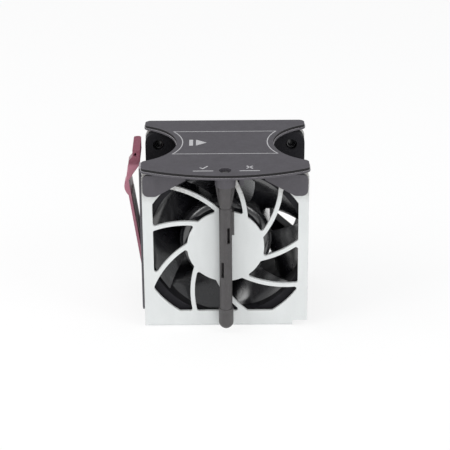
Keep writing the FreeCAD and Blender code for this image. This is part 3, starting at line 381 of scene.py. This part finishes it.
# ================================================================ push rivets
# Two black nylon push rivets hold the fan's rear flange to the bracket's upper corners. Each is a
# hollow shank with a low domed head behind the sheet.

spin = next(joint for joint in frame["joints"] if joint["name"] == "rotor_spin")
axis_high = spin["pos_m"][2]
round_steps = 48
turned_sharp = math.radians(38)


def lathe(name, profile, steps=round_steps):
    """A closed solid of revolution about Y, from (radius, depth) pairs in mm."""
    form = bmesh.new()
    rings = []
    for radius, depth in profile:
        if radius == 0:
            rings.append([form.verts.new((0, depth * mm, 0))])
            continue
        turns = [2 * math.pi * step / steps for step in range(steps)]
        rings.append([form.verts.new((radius * mm * math.cos(turn), depth * mm,
                                      radius * mm * math.sin(turn))) for turn in turns])
    pairs = list(zip(rings, rings[1:]))
    if len(rings[0]) > 1:
        pairs.append((rings[-1], rings[0]))
    for first, second in pairs:
        for step in range(steps):
            after = (step + 1) % steps
            corners = [first[step % len(first)], first[after % len(first)],
                       second[after % len(second)], second[step % len(second)]]
            kept = [corner for index, corner in enumerate(corners) if corner not in corners[:index]]
            if len(kept) > 2:
                form.faces.new(kept)
    bmesh.ops.recalc_face_normals(form, faces=form.faces)
    for face in form.faces:
        face.smooth = True
    mesh = bpy.data.meshes.new(name)
    form.to_mesh(mesh)
    form.free()
    mesh.set_sharp_from_angle(angle=turned_sharp)
    return mesh


def new_tree(name, inputs):
    """A Geometry Nodes tree with one mesh in, one mesh out and named inputs."""
    tree = bpy.data.node_groups.new(name, "GeometryNodeTree")
    tree.interface.new_socket("Geometry", in_out="INPUT", socket_type="NodeSocketGeometry")
    tree.interface.new_socket("Geometry", in_out="OUTPUT", socket_type="NodeSocketGeometry")
    for label, kind in inputs:
        tree.interface.new_socket(label, in_out="INPUT", socket_type=kind)
    return tree, tree.nodes.new("NodeGroupInput"), tree.nodes.new("NodeGroupOutput")


def run_tree(piece, tree, values):
    """The mesh that a Geometry Nodes tree makes of a piece, with its inputs set by identifier."""
    work = piece.modifiers.new(tree.name, "NODES")
    work.node_group = tree
    for item in tree.interface.items_tree:
        if item.in_out == "INPUT" and item.name in values:
            work[item.identifier] = values[item.name]
    return applied(piece)


def set_out(name, part_mesh, places, finish):
    """Copies of one small part at given places, made by Geometry Nodes."""
    spots = bpy.data.meshes.new(name)
    spots.from_pydata([tuple(place) for place in places], [], [])
    piece = bpy.data.objects.new(name, spots)
    scene.collection.objects.link(piece)
    pattern = bpy.data.objects.new(name + "_pattern", part_mesh)
    scene.collection.objects.link(pattern)
    tree, source, result = new_tree(name + "_tree", [
        ("Part", "NodeSocketObject"), ("Finish", "NodeSocketMaterial")])
    part = tree.nodes.new("GeometryNodeObjectInfo")
    points = tree.nodes.new("GeometryNodeMeshToPoints")
    spread = tree.nodes.new("GeometryNodeInstanceOnPoints")
    real = tree.nodes.new("GeometryNodeRealizeInstances")
    paint = tree.nodes.new("GeometryNodeSetMaterial")
    tree.links.new(source.outputs["Part"], part.inputs["Object"])
    tree.links.new(source.outputs["Geometry"], points.inputs["Mesh"])
    tree.links.new(points.outputs["Points"], spread.inputs["Points"])
    tree.links.new(part.outputs["Geometry"], spread.inputs["Instance"])
    tree.links.new(spread.outputs["Instances"], real.inputs["Geometry"])
    tree.links.new(real.outputs["Geometry"], paint.inputs["Geometry"])
    tree.links.new(source.outputs["Finish"], paint.inputs["Material"])
    tree.links.new(paint.outputs["Geometry"], result.inputs["Geometry"])
    run_tree(piece, tree, {"Part": pattern, "Finish": finish})
    bpy.data.objects.remove(pattern)
    return piece


rivet_nylon = finish_of(
    "rivet_nylon", (0.016, 0.016, 0.017), (0.024, 0.024, 0.026), patch=2, grain=0.2, rough=0.22,
    bump=0.1, coat=0.3)
sheet_rear = round((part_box("steel_bracket")[1].y - guard_face) / mm, 3)
shank = 2.05
head = 3.5
socket = [(0, 39.6), (1.05, 39.4), (1.15, 38.1), (1.35, 37.7), (1.6, 37.6), (1.85, 37.7), (shank, 38.1)]
dome = [(head, sheet_rear), (head, sheet_rear + 0.35), (head - 0.4, sheet_rear + 0.75),
        (head - 1.3, sheet_rear + 0.95), (0, sheet_rear + 1.0)]
rivet_mesh = lathe("push_rivet", [*socket, (shank, sheet_rear), *dome])
hole_spread = 25.0
rivet_high = axis_high + hole_spread * mm
rivet_spots = [(way * hole_spread * mm, guard_face, rivet_high) for way in (-1, 1)]
rivets = set_out("push_rivets", rivet_mesh, rivet_spots, rivet_nylon)
settle(rivets, "module", "black_plastic", "fan_rivets")

# ================================================================ bearings and shaft
# A brass tube holds two ball bearings on the ground steel shaft, with a spacer and a wave spring
# between them. A clip on the shaft's end keeps the rotor in.

turned_steel = finish_of(
    "turned_steel", (0.62, 0.61, 0.60), (0.52, 0.52, 0.52), patch=3, grain=0.3, rough=0.25,
    bump=0.1, metallic=1.0, stretch=(1, 6, 1))
brass = finish_of(
    "brass", (0.72, 0.55, 0.28), (0.62, 0.46, 0.23), patch=3, grain=0.3, rough=0.3, bump=0.1,
    metallic=1.0, stretch=(1, 6, 1))
for node in ("bearing_outer_rings", "bearing_balls", "rotor_shaft", "bearing_inner_rings",
             "preload_spring", "retaining_clip"):
    coat(node, turned_steel)
for node in ("bearing_tube", "bearing_spacer", "shaft_boss"):
    coat(node, brass)

# ================================================================ stator and board
# Four poles of stacked laminations carry nylon formers and copper coils. The round board behind
# them holds the driver, the Hall sensor and one capacitor.

core_steel = finish_of(
    "core_steel", (0.35, 0.35, 0.36), (0.24, 0.24, 0.25), patch=1.2, grain=0.3, rough=0.4, bump=0.5,
    metallic=1.0, stretch=(0.2, 4, 0.2))
copper = finish_of(
    "copper", (0.62, 0.27, 0.13), (0.46, 0.18, 0.08), patch=1.2, grain=0.4, rough=0.35, bump=0.8,
    metallic=1.0, stretch=(0.3, 5, 0.3))
nylon = finish_of(
    "nylon", (0.75, 0.74, 0.68), (0.66, 0.65, 0.59), patch=2, grain=0.2, rough=0.5, bump=0.2)
board_green = finish_of(
    "board_green", (0.02, 0.12, 0.05), (0.035, 0.17, 0.075), patch=1.2, grain=0.2, rough=0.35,
    bump=0.3, coat=0.3)
chip_black = finish_of(
    "chip_black", (0.02, 0.02, 0.02), (0.03, 0.03, 0.03), patch=1, grain=0.1, rough=0.5, bump=0.2)
can_sleeve = finish_of(
    "can_sleeve", (0.45, 0.45, 0.47), (0.36, 0.36, 0.38), patch=2, grain=0.2, rough=0.35, bump=0.1,
    metallic=0.6)
coat("stator_core", core_steel)
coat("stator_insulators", nylon)
coat("stator_coils", copper)
coat("motor_board", board_green)
coat("driver_chip", chip_black)
coat("hall_sensor", chip_black)
coat("filter_capacitor", can_sleeve)

# ================================================================ rotor
# A steel cup with a bonded magnet ring lines the hub. The hub and its seven blades are one black
# moulding; its front corner is well rounded and catches a soft highlight.

magnet_dark = finish_of(
    "magnet_dark", (0.06, 0.055, 0.05), (0.08, 0.075, 0.07), patch=2, grain=0.2, rough=0.6,
    bump=0.3)
yoke_plate = finish_of(
    "yoke_plate", (0.50, 0.49, 0.48), (0.40, 0.39, 0.38), patch=3, grain=0.3, rough=0.35, bump=0.2,
    metallic=1.0)
coat("magnet_ring", magnet_dark)
coat("rotor_yoke", yoke_plate)

hub_front = 3.9
hub_rear = 29.9
hub_radius = 16.8
hub_wall = 1.2
hub_round = 3.0
hub_bore = 2.0
hub_chamfer = 0.3
hub_steps = 120
shoulder = [(hub_radius - hub_round + hub_round * math.sin(turn),
             hub_front + hub_round - hub_round * math.cos(turn))
            for turn in (math.radians(9 * step) for step in range(11))]
hub_mesh = lathe("hub_cup", [
    (hub_bore, hub_front), *shoulder, (hub_radius, hub_rear - hub_chamfer),
    (hub_radius - hub_chamfer, hub_rear), (hub_radius - hub_wall, hub_rear),
    (hub_radius - hub_wall, hub_front + hub_wall), (hub_bore, hub_front + hub_wall)], hub_steps)

blade_count = 7
blade_inner = 16.3
blade_outer = 28.0
# Each row: distance from the axis, then the leading edge's turn in degrees and depth, and the
# hollow's turn and depth.
BLADE_LINES = (
    (16.3, 3.9, 10.9, -20.5, 16.4),
    (18.5, 6.0, 9.7, -23.4, 15.2),
    (21.6, 9.6, 7.8, -29.4, 14.3),
    (24.3, 12.4, 6.2, -34.4, 13.5),
    (26.4, 14.9, 4.6, -38.4, 13.0),
    (28.0, 16.6, 3.9, -41.2, 12.7),
)
blade_steep = math.radians(80)
blade_hollow = math.radians(32)
blade_flat = math.radians(7)
blade_rear = 26.6
blade_thick = 1.1
blade_edge = 0.45
blade_fullness = 0.7
blade_run = 1.8
front_share = 0.6
blade_sharp = math.radians(50)


def blade_line(radius):
    """The turn and depth of a blade's leading edge and hollow at a distance from the axis."""
    for inner, outer in zip(BLADE_LINES, BLADE_LINES[1:]):
        if radius <= outer[0] + 1e-6:
            share = (radius - inner[0]) / (outer[0] - inner[0])
            return [a + (b - a) * share for a, b in zip(inner[1:], outer[1:])]
    return list(BLADE_LINES[-1][1:])


def along_curve(start, start_slope, end, end_slope, share):
    """A point of the smooth curve that leaves and meets its ends at given slopes from the axis."""
    reach = math.hypot(end[0] - start[0], end[1] - start[1])
    leave = 2 * share ** 3 - 3 * share ** 2 + 1
    lean_out = (share ** 3 - 2 * share ** 2 + share) * reach
    meet = -2 * share ** 3 + 3 * share ** 2
    lean_in = (share ** 3 - share ** 2) * reach
    return tuple(leave * first + lean_out * away + meet * last + lean_in * into
                 for first, away, last, into in (
                     (start[0], math.sin(start_slope), end[0], math.sin(end_slope)),
                     (start[1], math.cos(start_slope), end[1], math.cos(end_slope))))


def blade_point(radius, share):
    """A point of the blade's middle surface; share runs from the leading to the trailing edge."""
    lead_turn, lead_depth, hollow_turn, hollow_depth = blade_line(radius)
    lead = (-radius * math.radians(lead_turn), lead_depth)
    hollow = (-radius * math.radians(hollow_turn), hollow_depth)
    run = (blade_rear - hollow_depth) * math.tan(blade_flat) * blade_run
    trail = (hollow[0] + run, blade_rear)
    if share < front_share:
        swept, depth = along_curve(lead, blade_steep, hollow, blade_hollow, share / front_share)
    else:
        swept, depth = along_curve(hollow, blade_hollow, trail, blade_flat,
                                   (share - front_share) / (1 - front_share))
    turn = -swept / radius
    return Vector((radius * math.cos(turn), depth, radius * math.sin(turn))) * mm


def blade_mesh():
    """One closed blade about the rotor's axis, thin at both edges."""
    across, along = 14, 30
    share_step, radius_step = 0.01, 0.1
    grid = []
    for i in range(across + 1):
        radius = blade_inner + (blade_outer - blade_inner) * i / across
        row = []
        for j in range(along + 1):
            share = j / along
            spot = blade_point(radius, share)
            back = blade_point(radius, max(share - share_step, 0))
            ahead = blade_point(radius, min(share + share_step, 1))
            out = blade_point(radius + radius_step, share)
            face_way = (ahead - back).cross(out - spot).normalized()
            full = math.sin(math.pi * share) ** blade_fullness
            thick = blade_edge + (blade_thick - blade_edge) * full
            row.append((spot + face_way * thick * mm / 2, spot - face_way * thick * mm / 2))
        grid.append(row)
    form = bmesh.new()
    sides = [[[form.verts.new(spot[side]) for spot in row] for row in grid] for side in (0, 1)]
    for cells in sides:
        for i in range(across):
            for j in range(along):
                form.faces.new((cells[i][j], cells[i + 1][j], cells[i + 1][j + 1], cells[i][j + 1]))
    rim = [(i, 0) for i in range(across)] + [(across, j) for j in range(along)]
    rim += [(i, along) for i in range(across, 0, -1)] + [(0, j) for j in range(along, 0, -1)]
    for (i, j), (k, m) in zip(rim, rim[1:] + rim[:1]):
        form.faces.new((sides[0][i][j], sides[0][k][m], sides[1][k][m], sides[1][i][j]))
    bmesh.ops.recalc_face_normals(form, faces=form.faces)
    for face in form.faces:
        face.smooth = True
    mesh = bpy.data.meshes.new("blade")
    form.to_mesh(mesh)
    form.free()
    mesh.set_sharp_from_angle(angle=blade_sharp)
    return mesh


def blade_ring_tree():
    """Turns one blade into the whole ring about the rotor's axis, and adds the hub."""
    tree, source, result = new_tree("blade_ring", [
        ("Blades", "NodeSocketInt"), ("Axis", "NodeSocketVector"), ("Hub", "NodeSocketObject"),
        ("Finish", "NodeSocketMaterial")])
    points = tree.nodes.new("GeometryNodePoints")
    index = tree.nodes.new("GeometryNodeInputIndex")
    pitch = tree.nodes.new("ShaderNodeMath")
    pitch.operation = "DIVIDE"
    pitch.inputs[0].default_value = 2 * math.pi
    angle = tree.nodes.new("ShaderNodeMath")
    angle.operation = "MULTIPLY"
    turn = tree.nodes.new("ShaderNodeCombineXYZ")
    rotation = tree.nodes.new("FunctionNodeEulerToRotation")
    spread = tree.nodes.new("GeometryNodeInstanceOnPoints")
    hub = tree.nodes.new("GeometryNodeObjectInfo")
    seat = tree.nodes.new("GeometryNodeTransform")
    both = tree.nodes.new("GeometryNodeJoinGeometry")
    real = tree.nodes.new("GeometryNodeRealizeInstances")
    paint = tree.nodes.new("GeometryNodeSetMaterial")
    for start, end in (
        (source.outputs["Blades"], points.inputs["Count"]),
        (source.outputs["Axis"], points.inputs["Position"]),
        (source.outputs["Blades"], pitch.inputs[1]),
        (index.outputs[0], angle.inputs[0]),
        (pitch.outputs[0], angle.inputs[1]),
        (angle.outputs[0], turn.inputs["Y"]),
        (turn.outputs[0], rotation.inputs[0]),
        (points.outputs[0], spread.inputs["Points"]),
        (source.outputs["Geometry"], spread.inputs["Instance"]),
        (rotation.outputs[0], spread.inputs["Rotation"]),
        (source.outputs["Hub"], hub.inputs["Object"]),
        (hub.outputs["Geometry"], seat.inputs["Geometry"]),
        (source.outputs["Axis"], seat.inputs["Translation"]),
        (seat.outputs[0], both.inputs[0]),
        (spread.outputs[0], both.inputs[0]),
        (both.outputs[0], real.inputs[0]),
        (real.outputs[0], paint.inputs["Geometry"]),
        (source.outputs["Finish"], paint.inputs["Material"]),
        (paint.outputs[0], result.inputs[0]),
    ):
        tree.links.new(start, end)
    return tree


impeller_black = finish_of(
    "impeller_black", (0.0060, 0.0060, 0.0078), (0.009, 0.0088, 0.0110), patch=8, grain=0.22,
    rough=0.25, bump=0.08, coat=1.0, specular=1.0)
hub_pattern = bpy.data.objects.new("hub_pattern", hub_mesh)
scene.collection.objects.link(hub_pattern)
impeller = placed("impeller_moulding", blade_mesh())
run_tree(impeller, blade_ring_tree(), {
    "Blades": blade_count, "Axis": (0.0, guard_face, axis_high), "Hub": hub_pattern,
    "Finish": impeller_black})
bpy.data.objects.remove(hub_pattern)
settle(impeller, "rotor", "black_plastic", "impeller")

# ================================================================ handle
# A dark grey moulded plate with a finger cut-out each side, ears in front of the guard and a thin
# leg down the left side. Its skin is finely textured; the rim's ledge carries a painted highlight
# and the plate's side above it painted shade.

handle_grey = finish_of(
    "handle_grey", (0.0725, 0.0675, 0.0770), (0.0815, 0.0765, 0.0880), patch=5, grain=0.28,
    rough=0.50, bump=0.35, dust=0.08, dust_colour=(0.24, 0.23, 0.25))
handle_edge = finish_of(
    "handle_edge", (0.110, 0.104, 0.114), (0.088, 0.083, 0.093), patch=3, grain=0.2, rough=0.34,
    bump=0.2)
# painted shade: the dark band on the plate's side, between its top and the rim
handle_painted_shade = finish_of(
    "handle_painted_shade", (0.009, 0.008, 0.009), (0.014, 0.013, 0.014), patch=3, grain=0.3, rough=0.60,
    bump=0.3, specular=0.3)
# painted highlight: the bright ledge along the rim
handle_rim = finish_of(
    "handle_rim", (0.62, 0.60, 0.62), (0.44, 0.42, 0.44), patch=1.5, grain=0.2, rough=0.36,
    bump=0.2)
handle_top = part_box("handle")[1].z
rim_level = handle_top - 1.0 * mm
near = 0.1 * mm
upright, level = 0.3, 0.9
# the handle's material slots for its faces; its broken edges take slot 1
# slot 2 is painted shade on the plate's side band, slot 3 a painted highlight on the rim's ledge
skin, side, highlight_ledge = 0, 2, 3


def handle_paint(face):
    """The plate's side, between its top and the rim, takes painted shade, and the rim's ledge a painted
    highlight.
    """
    middle, way = face.calc_center_median(), face.normal
    if abs(way.z) < upright and rim_level < middle.z < handle_top - near:
        return side
    if way.z > level and abs(middle.z - rim_level) < near:
        return highlight_ledge
    return skin


handle = eased("handle_moulding", "handle", (handle_grey, handle_edge, handle_painted_shade, handle_rim),
               0.14, rings=2, paint=handle_paint)
settle(handle, "module", "grey_plastic", "handle")

# ================================================================ printed marks
# Thin pale ink on the handle: a frame line that follows the cut-outs, an airflow arrow, and plain
# tick and cross marks beside the lamp's hole.

ink_grey = finish_of(
    "ink_grey", (0.56, 0.555, 0.57), (0.46, 0.455, 0.47), patch=1.2, grain=0.2, rough=0.55,
    bump=0.2)
ink_low = handle_top - 0.05 * mm
ink_high = handle_top + 0.02 * mm
frame_width = 0.36
mark_width = 0.5
corner_reach = 0.5
arc_steps = 12


def ink_solid(form, ring_points):
    """A thin closed slab of ink over a flat outline, given in mm from the guard's face."""
    levels = [[form.verts.new((x * mm, guard_face + y * mm, z)) for x, y in ring_points]
              for z in (ink_low, ink_high)]
    form.faces.new(levels[1])
    form.faces.new(levels[0][::-1])
    count = len(ring_points)
    for index in range(count):
        after = (index + 1) % count
        form.faces.new((levels[0][index], levels[0][after], levels[1][after], levels[1][index]))


def ink_line(form, line, width, closed=False):
    """A line of ink of one width, laid as a row of joined slabs."""
    count = len(line)
    edges = []
    for index in range(count):
        before = line[(index - 1) % count] if closed or index else line[index]
        after = line[(index + 1) % count] if closed or index < count - 1 else line[index]
        into = Vector(line[index]) - Vector(before)
        out = Vector(after) - Vector(line[index])
        into = into.normalized() if into.length else out.normalized()
        out = out.normalized() if out.length else into
        middle = (into + out).normalized()
        side = Vector((-middle.y, middle.x)) * width / 2 / max(middle.dot(out), corner_reach)
        edges.append((Vector(line[index]) - side, Vector(line[index]) + side))
    loops = [[form.verts.new((spot.x * mm, guard_face + spot.y * mm, z)) for spot, z in (
        (left, ink_low), (right, ink_low), (right, ink_high), (left, ink_high))]
             for left, right in edges]
    spans = list(zip(loops, loops[1:])) + ([(loops[-1], loops[0])] if closed else [])
    for first, second in spans:
        for corner in range(4):
            after = (corner + 1) % 4
            form.faces.new((first[corner], first[after], second[after], second[corner]))
    if not closed:
        form.faces.new(loops[0])
        form.faces.new(loops[-1][::-1])


def frame_line():
    """The printed frame: straight front and rear, arcs that keep clear of the cut-outs."""
    rear, front, wide, waist, centre = 32.3, 10.9, 19.0, 15.5, 21.7
    rise = wide - waist
    half_height = (rear - front) / 2
    radius = (half_height ** 2 + rise ** 2) / (2 * rise)
    swing = math.asin(half_height / radius)
    arc = [(waist + radius - radius * math.cos(turn), centre + radius * math.sin(turn))
           for turn in (swing * (step / arc_steps - 1) for step in range(2 * arc_steps + 1))]
    return arc + [(-x, y) for x, y in reversed(arc)]


flow_bar = [(-13.1, 18.8), (-11.7, 18.8), (-11.7, 24.4), (-13.1, 24.4)]
flow_head = [(-10.6, 18.8), (-6.7, 21.6), (-10.6, 24.4)]
tick = [(-9.0, -1.7), (-7.9, -2.7), (-6.2, -0.3)]
cross = [(7.6, -2.7), (9.8, -0.4)], [(7.6, -0.4), (9.8, -2.7)]
bar_reach, bar_depth = 3.6, -4.7
bars = [[(middle - bar_reach, bar_depth), (middle + bar_reach, bar_depth)] for middle in (-7.8, 8.7)]
ink_form = bmesh.new()
ink_line(ink_form, frame_line(), frame_width, closed=True)
ink_solid(ink_form, flow_bar)
ink_solid(ink_form, flow_head)
for stroke in (tick, *cross, *bars):
    ink_line(ink_form, stroke, mark_width)
bmesh.ops.recalc_face_normals(ink_form, faces=ink_form.faces)
ink_mesh = bpy.data.meshes.new("printed_marks")
ink_form.to_mesh(ink_mesh)
ink_form.free()
marks = placed("printed_marks", ink_mesh, ink_grey)
settle(marks, "module", "grey_plastic")

# ================================================================ latch
# A burgundy arm with a finger tab, turning on a steel pin at its foot, with a spring-steel leaf
# behind it. The plastic has a satin skin, and the tab is painted darker above 59 mm as shade.

latch_burgundy = finish_of(
    "latch_burgundy", (0.450, 0.165, 0.225), (0.490, 0.185, 0.250), patch=4, grain=0.3, rough=0.38,
    bump=0.15, coat=0.1, dust=0.08)
# painted shade: the tab darkens in broken flecks from 59 mm up to 60 mm
painted_shade_by_height(latch_burgundy, 59, 60, (0.190, 0.036, 0.066), most=0.9, least=0.85)
latch_edge = finish_of(
    "latch_edge", (0.40, 0.165, 0.205), (0.34, 0.120, 0.160), patch=2, grain=0.2, rough=0.32,
    bump=0.1)
lever = eased("latch_moulding", "latch_lever", (latch_burgundy, latch_edge), 0.2, rings=2)
settle(lever, "latch", "burgundy_plastic", "latch_lever")
spring_steel = finish_of(
    "spring_steel", (0.36, 0.34, 0.33), (0.22, 0.21, 0.205), patch=1.5, grain=0.3, rough=0.34,
    bump=0.3, metallic=1.0, stretch=(1, 1, 0.15))
coat("latch_leaf", spring_steel)
coat("latch_pin", turned_steel)

# ================================================================ light pipe and its cover
# A clear rod, painted dark as shade, carries the status lamp's light from the foot to the hole in
# the handle. A grey moulded cover holds it in front of the guard, and two slots in the cover show
# the rod.

cover_grey = finish_of(
    "cover_grey", (0.060, 0.056, 0.057), (0.070, 0.066, 0.067), patch=3, grain=0.3, rough=0.46,
    bump=0.3, dust=0.08, dust_colour=(0.35, 0.34, 0.35))
cover_edge = finish_of(
    "cover_edge", (0.125, 0.118, 0.121), (0.105, 0.099, 0.102), patch=2, grain=0.2, rough=0.36,
    bump=0.1)
cover = eased("cover_moulding", "light_pipe_cover", (cover_grey, cover_edge), 0.15)
settle(cover, "module", "cover_plastic", "light_pipe_cover")
# painted shade: the clear rod is coloured near black
painted_shade_rod = finish_of(
    "painted_shade_rod", (0.030, 0.028, 0.030), (0.050, 0.046, 0.048), patch=2, grain=0.2, rough=0.12,
    bump=0.05, coat=0.6)
coat("light_pipe", painted_shade_rod)

# ================================================================ connector and leads
# A black nylon housing stands at the lower right, screwed to the bracket's floor. Its brass
# contacts take the four sleeved leads, which come out of the duct in a channel beside a strut.

plug_black = finish_of(
    "plug_black", (0.02, 0.02, 0.022), (0.03, 0.03, 0.032), patch=2, grain=0.2, rough=0.45,
    bump=0.2)
plug_edge = finish_of(
    "plug_edge", (0.045, 0.045, 0.048), (0.035, 0.035, 0.038), patch=2, grain=0.2, rough=0.40,
    bump=0.1)
channel_turn = math.radians(-42)
channel_near, channel_far = 16.6, 28.45
channel_low, channel_high = 5.2, 9.8
channel_wall = 0.8
channel_easing = 0.2 * mm
channel_front, channel_floor, channel_rear = 32.0, 33.1, 39.6


def channel_spot(radius, offset, depth):
    """A point beside the leads' strut: out to a radius, across by an offset, back by a depth."""
    reach = math.sqrt(radius ** 2 - offset ** 2)
    x = reach * math.cos(channel_turn) - offset * math.sin(channel_turn)
    z = reach * math.sin(channel_turn) + offset * math.cos(channel_turn)
    return (x * mm, guard_face + depth * mm, axis_high + z * mm)


def channel_mesh():
    """An L-shaped trough: a front plate across the leads and a wall below them."""
    form = bmesh.new()
    wall = channel_low + channel_wall
    section = [
        (channel_low, channel_front), (channel_high, channel_front), (channel_high, channel_floor),
        (wall, channel_floor), (wall, channel_rear), (channel_low, channel_rear)]
    ends = [[form.verts.new(channel_spot(radius, *corner)) for corner in section]
            for radius in (channel_near, channel_far)]
    form.faces.new(ends[0])
    form.faces.new(ends[1][::-1])
    for index in range(len(section)):
        after = (index + 1) % len(section)
        form.faces.new((ends[0][index], ends[1][index], ends[1][after], ends[0][after]))
    bmesh.ops.recalc_face_normals(form, faces=form.faces)
    mesh = bpy.data.meshes.new("lead_channel")
    form.to_mesh(mesh)
    form.free()
    return mesh


channel = placed("lead_channel", channel_mesh(), fan_black)
soft = channel.modifiers.new("broken_edges", "BEVEL")
soft.width = channel_easing
soft.segments = 2
applied(channel)
settle(channel, "module", "black_plastic")
lead_sleeve = finish_of(
    "lead_sleeve", (0.050, 0.046, 0.047), (0.075, 0.070, 0.071), patch=2, grain=0.2, rough=0.35,
    bump=0.1)
plug = eased("plug_housing", "connector_housing", (plug_black, plug_edge), 0.15)
settle(plug, "module", "connector_plastic", "connector_housing")
coat("connector_contacts", brass)
coat("connector_screws", turned_steel)
coat("lead_wires", lead_sleeve)
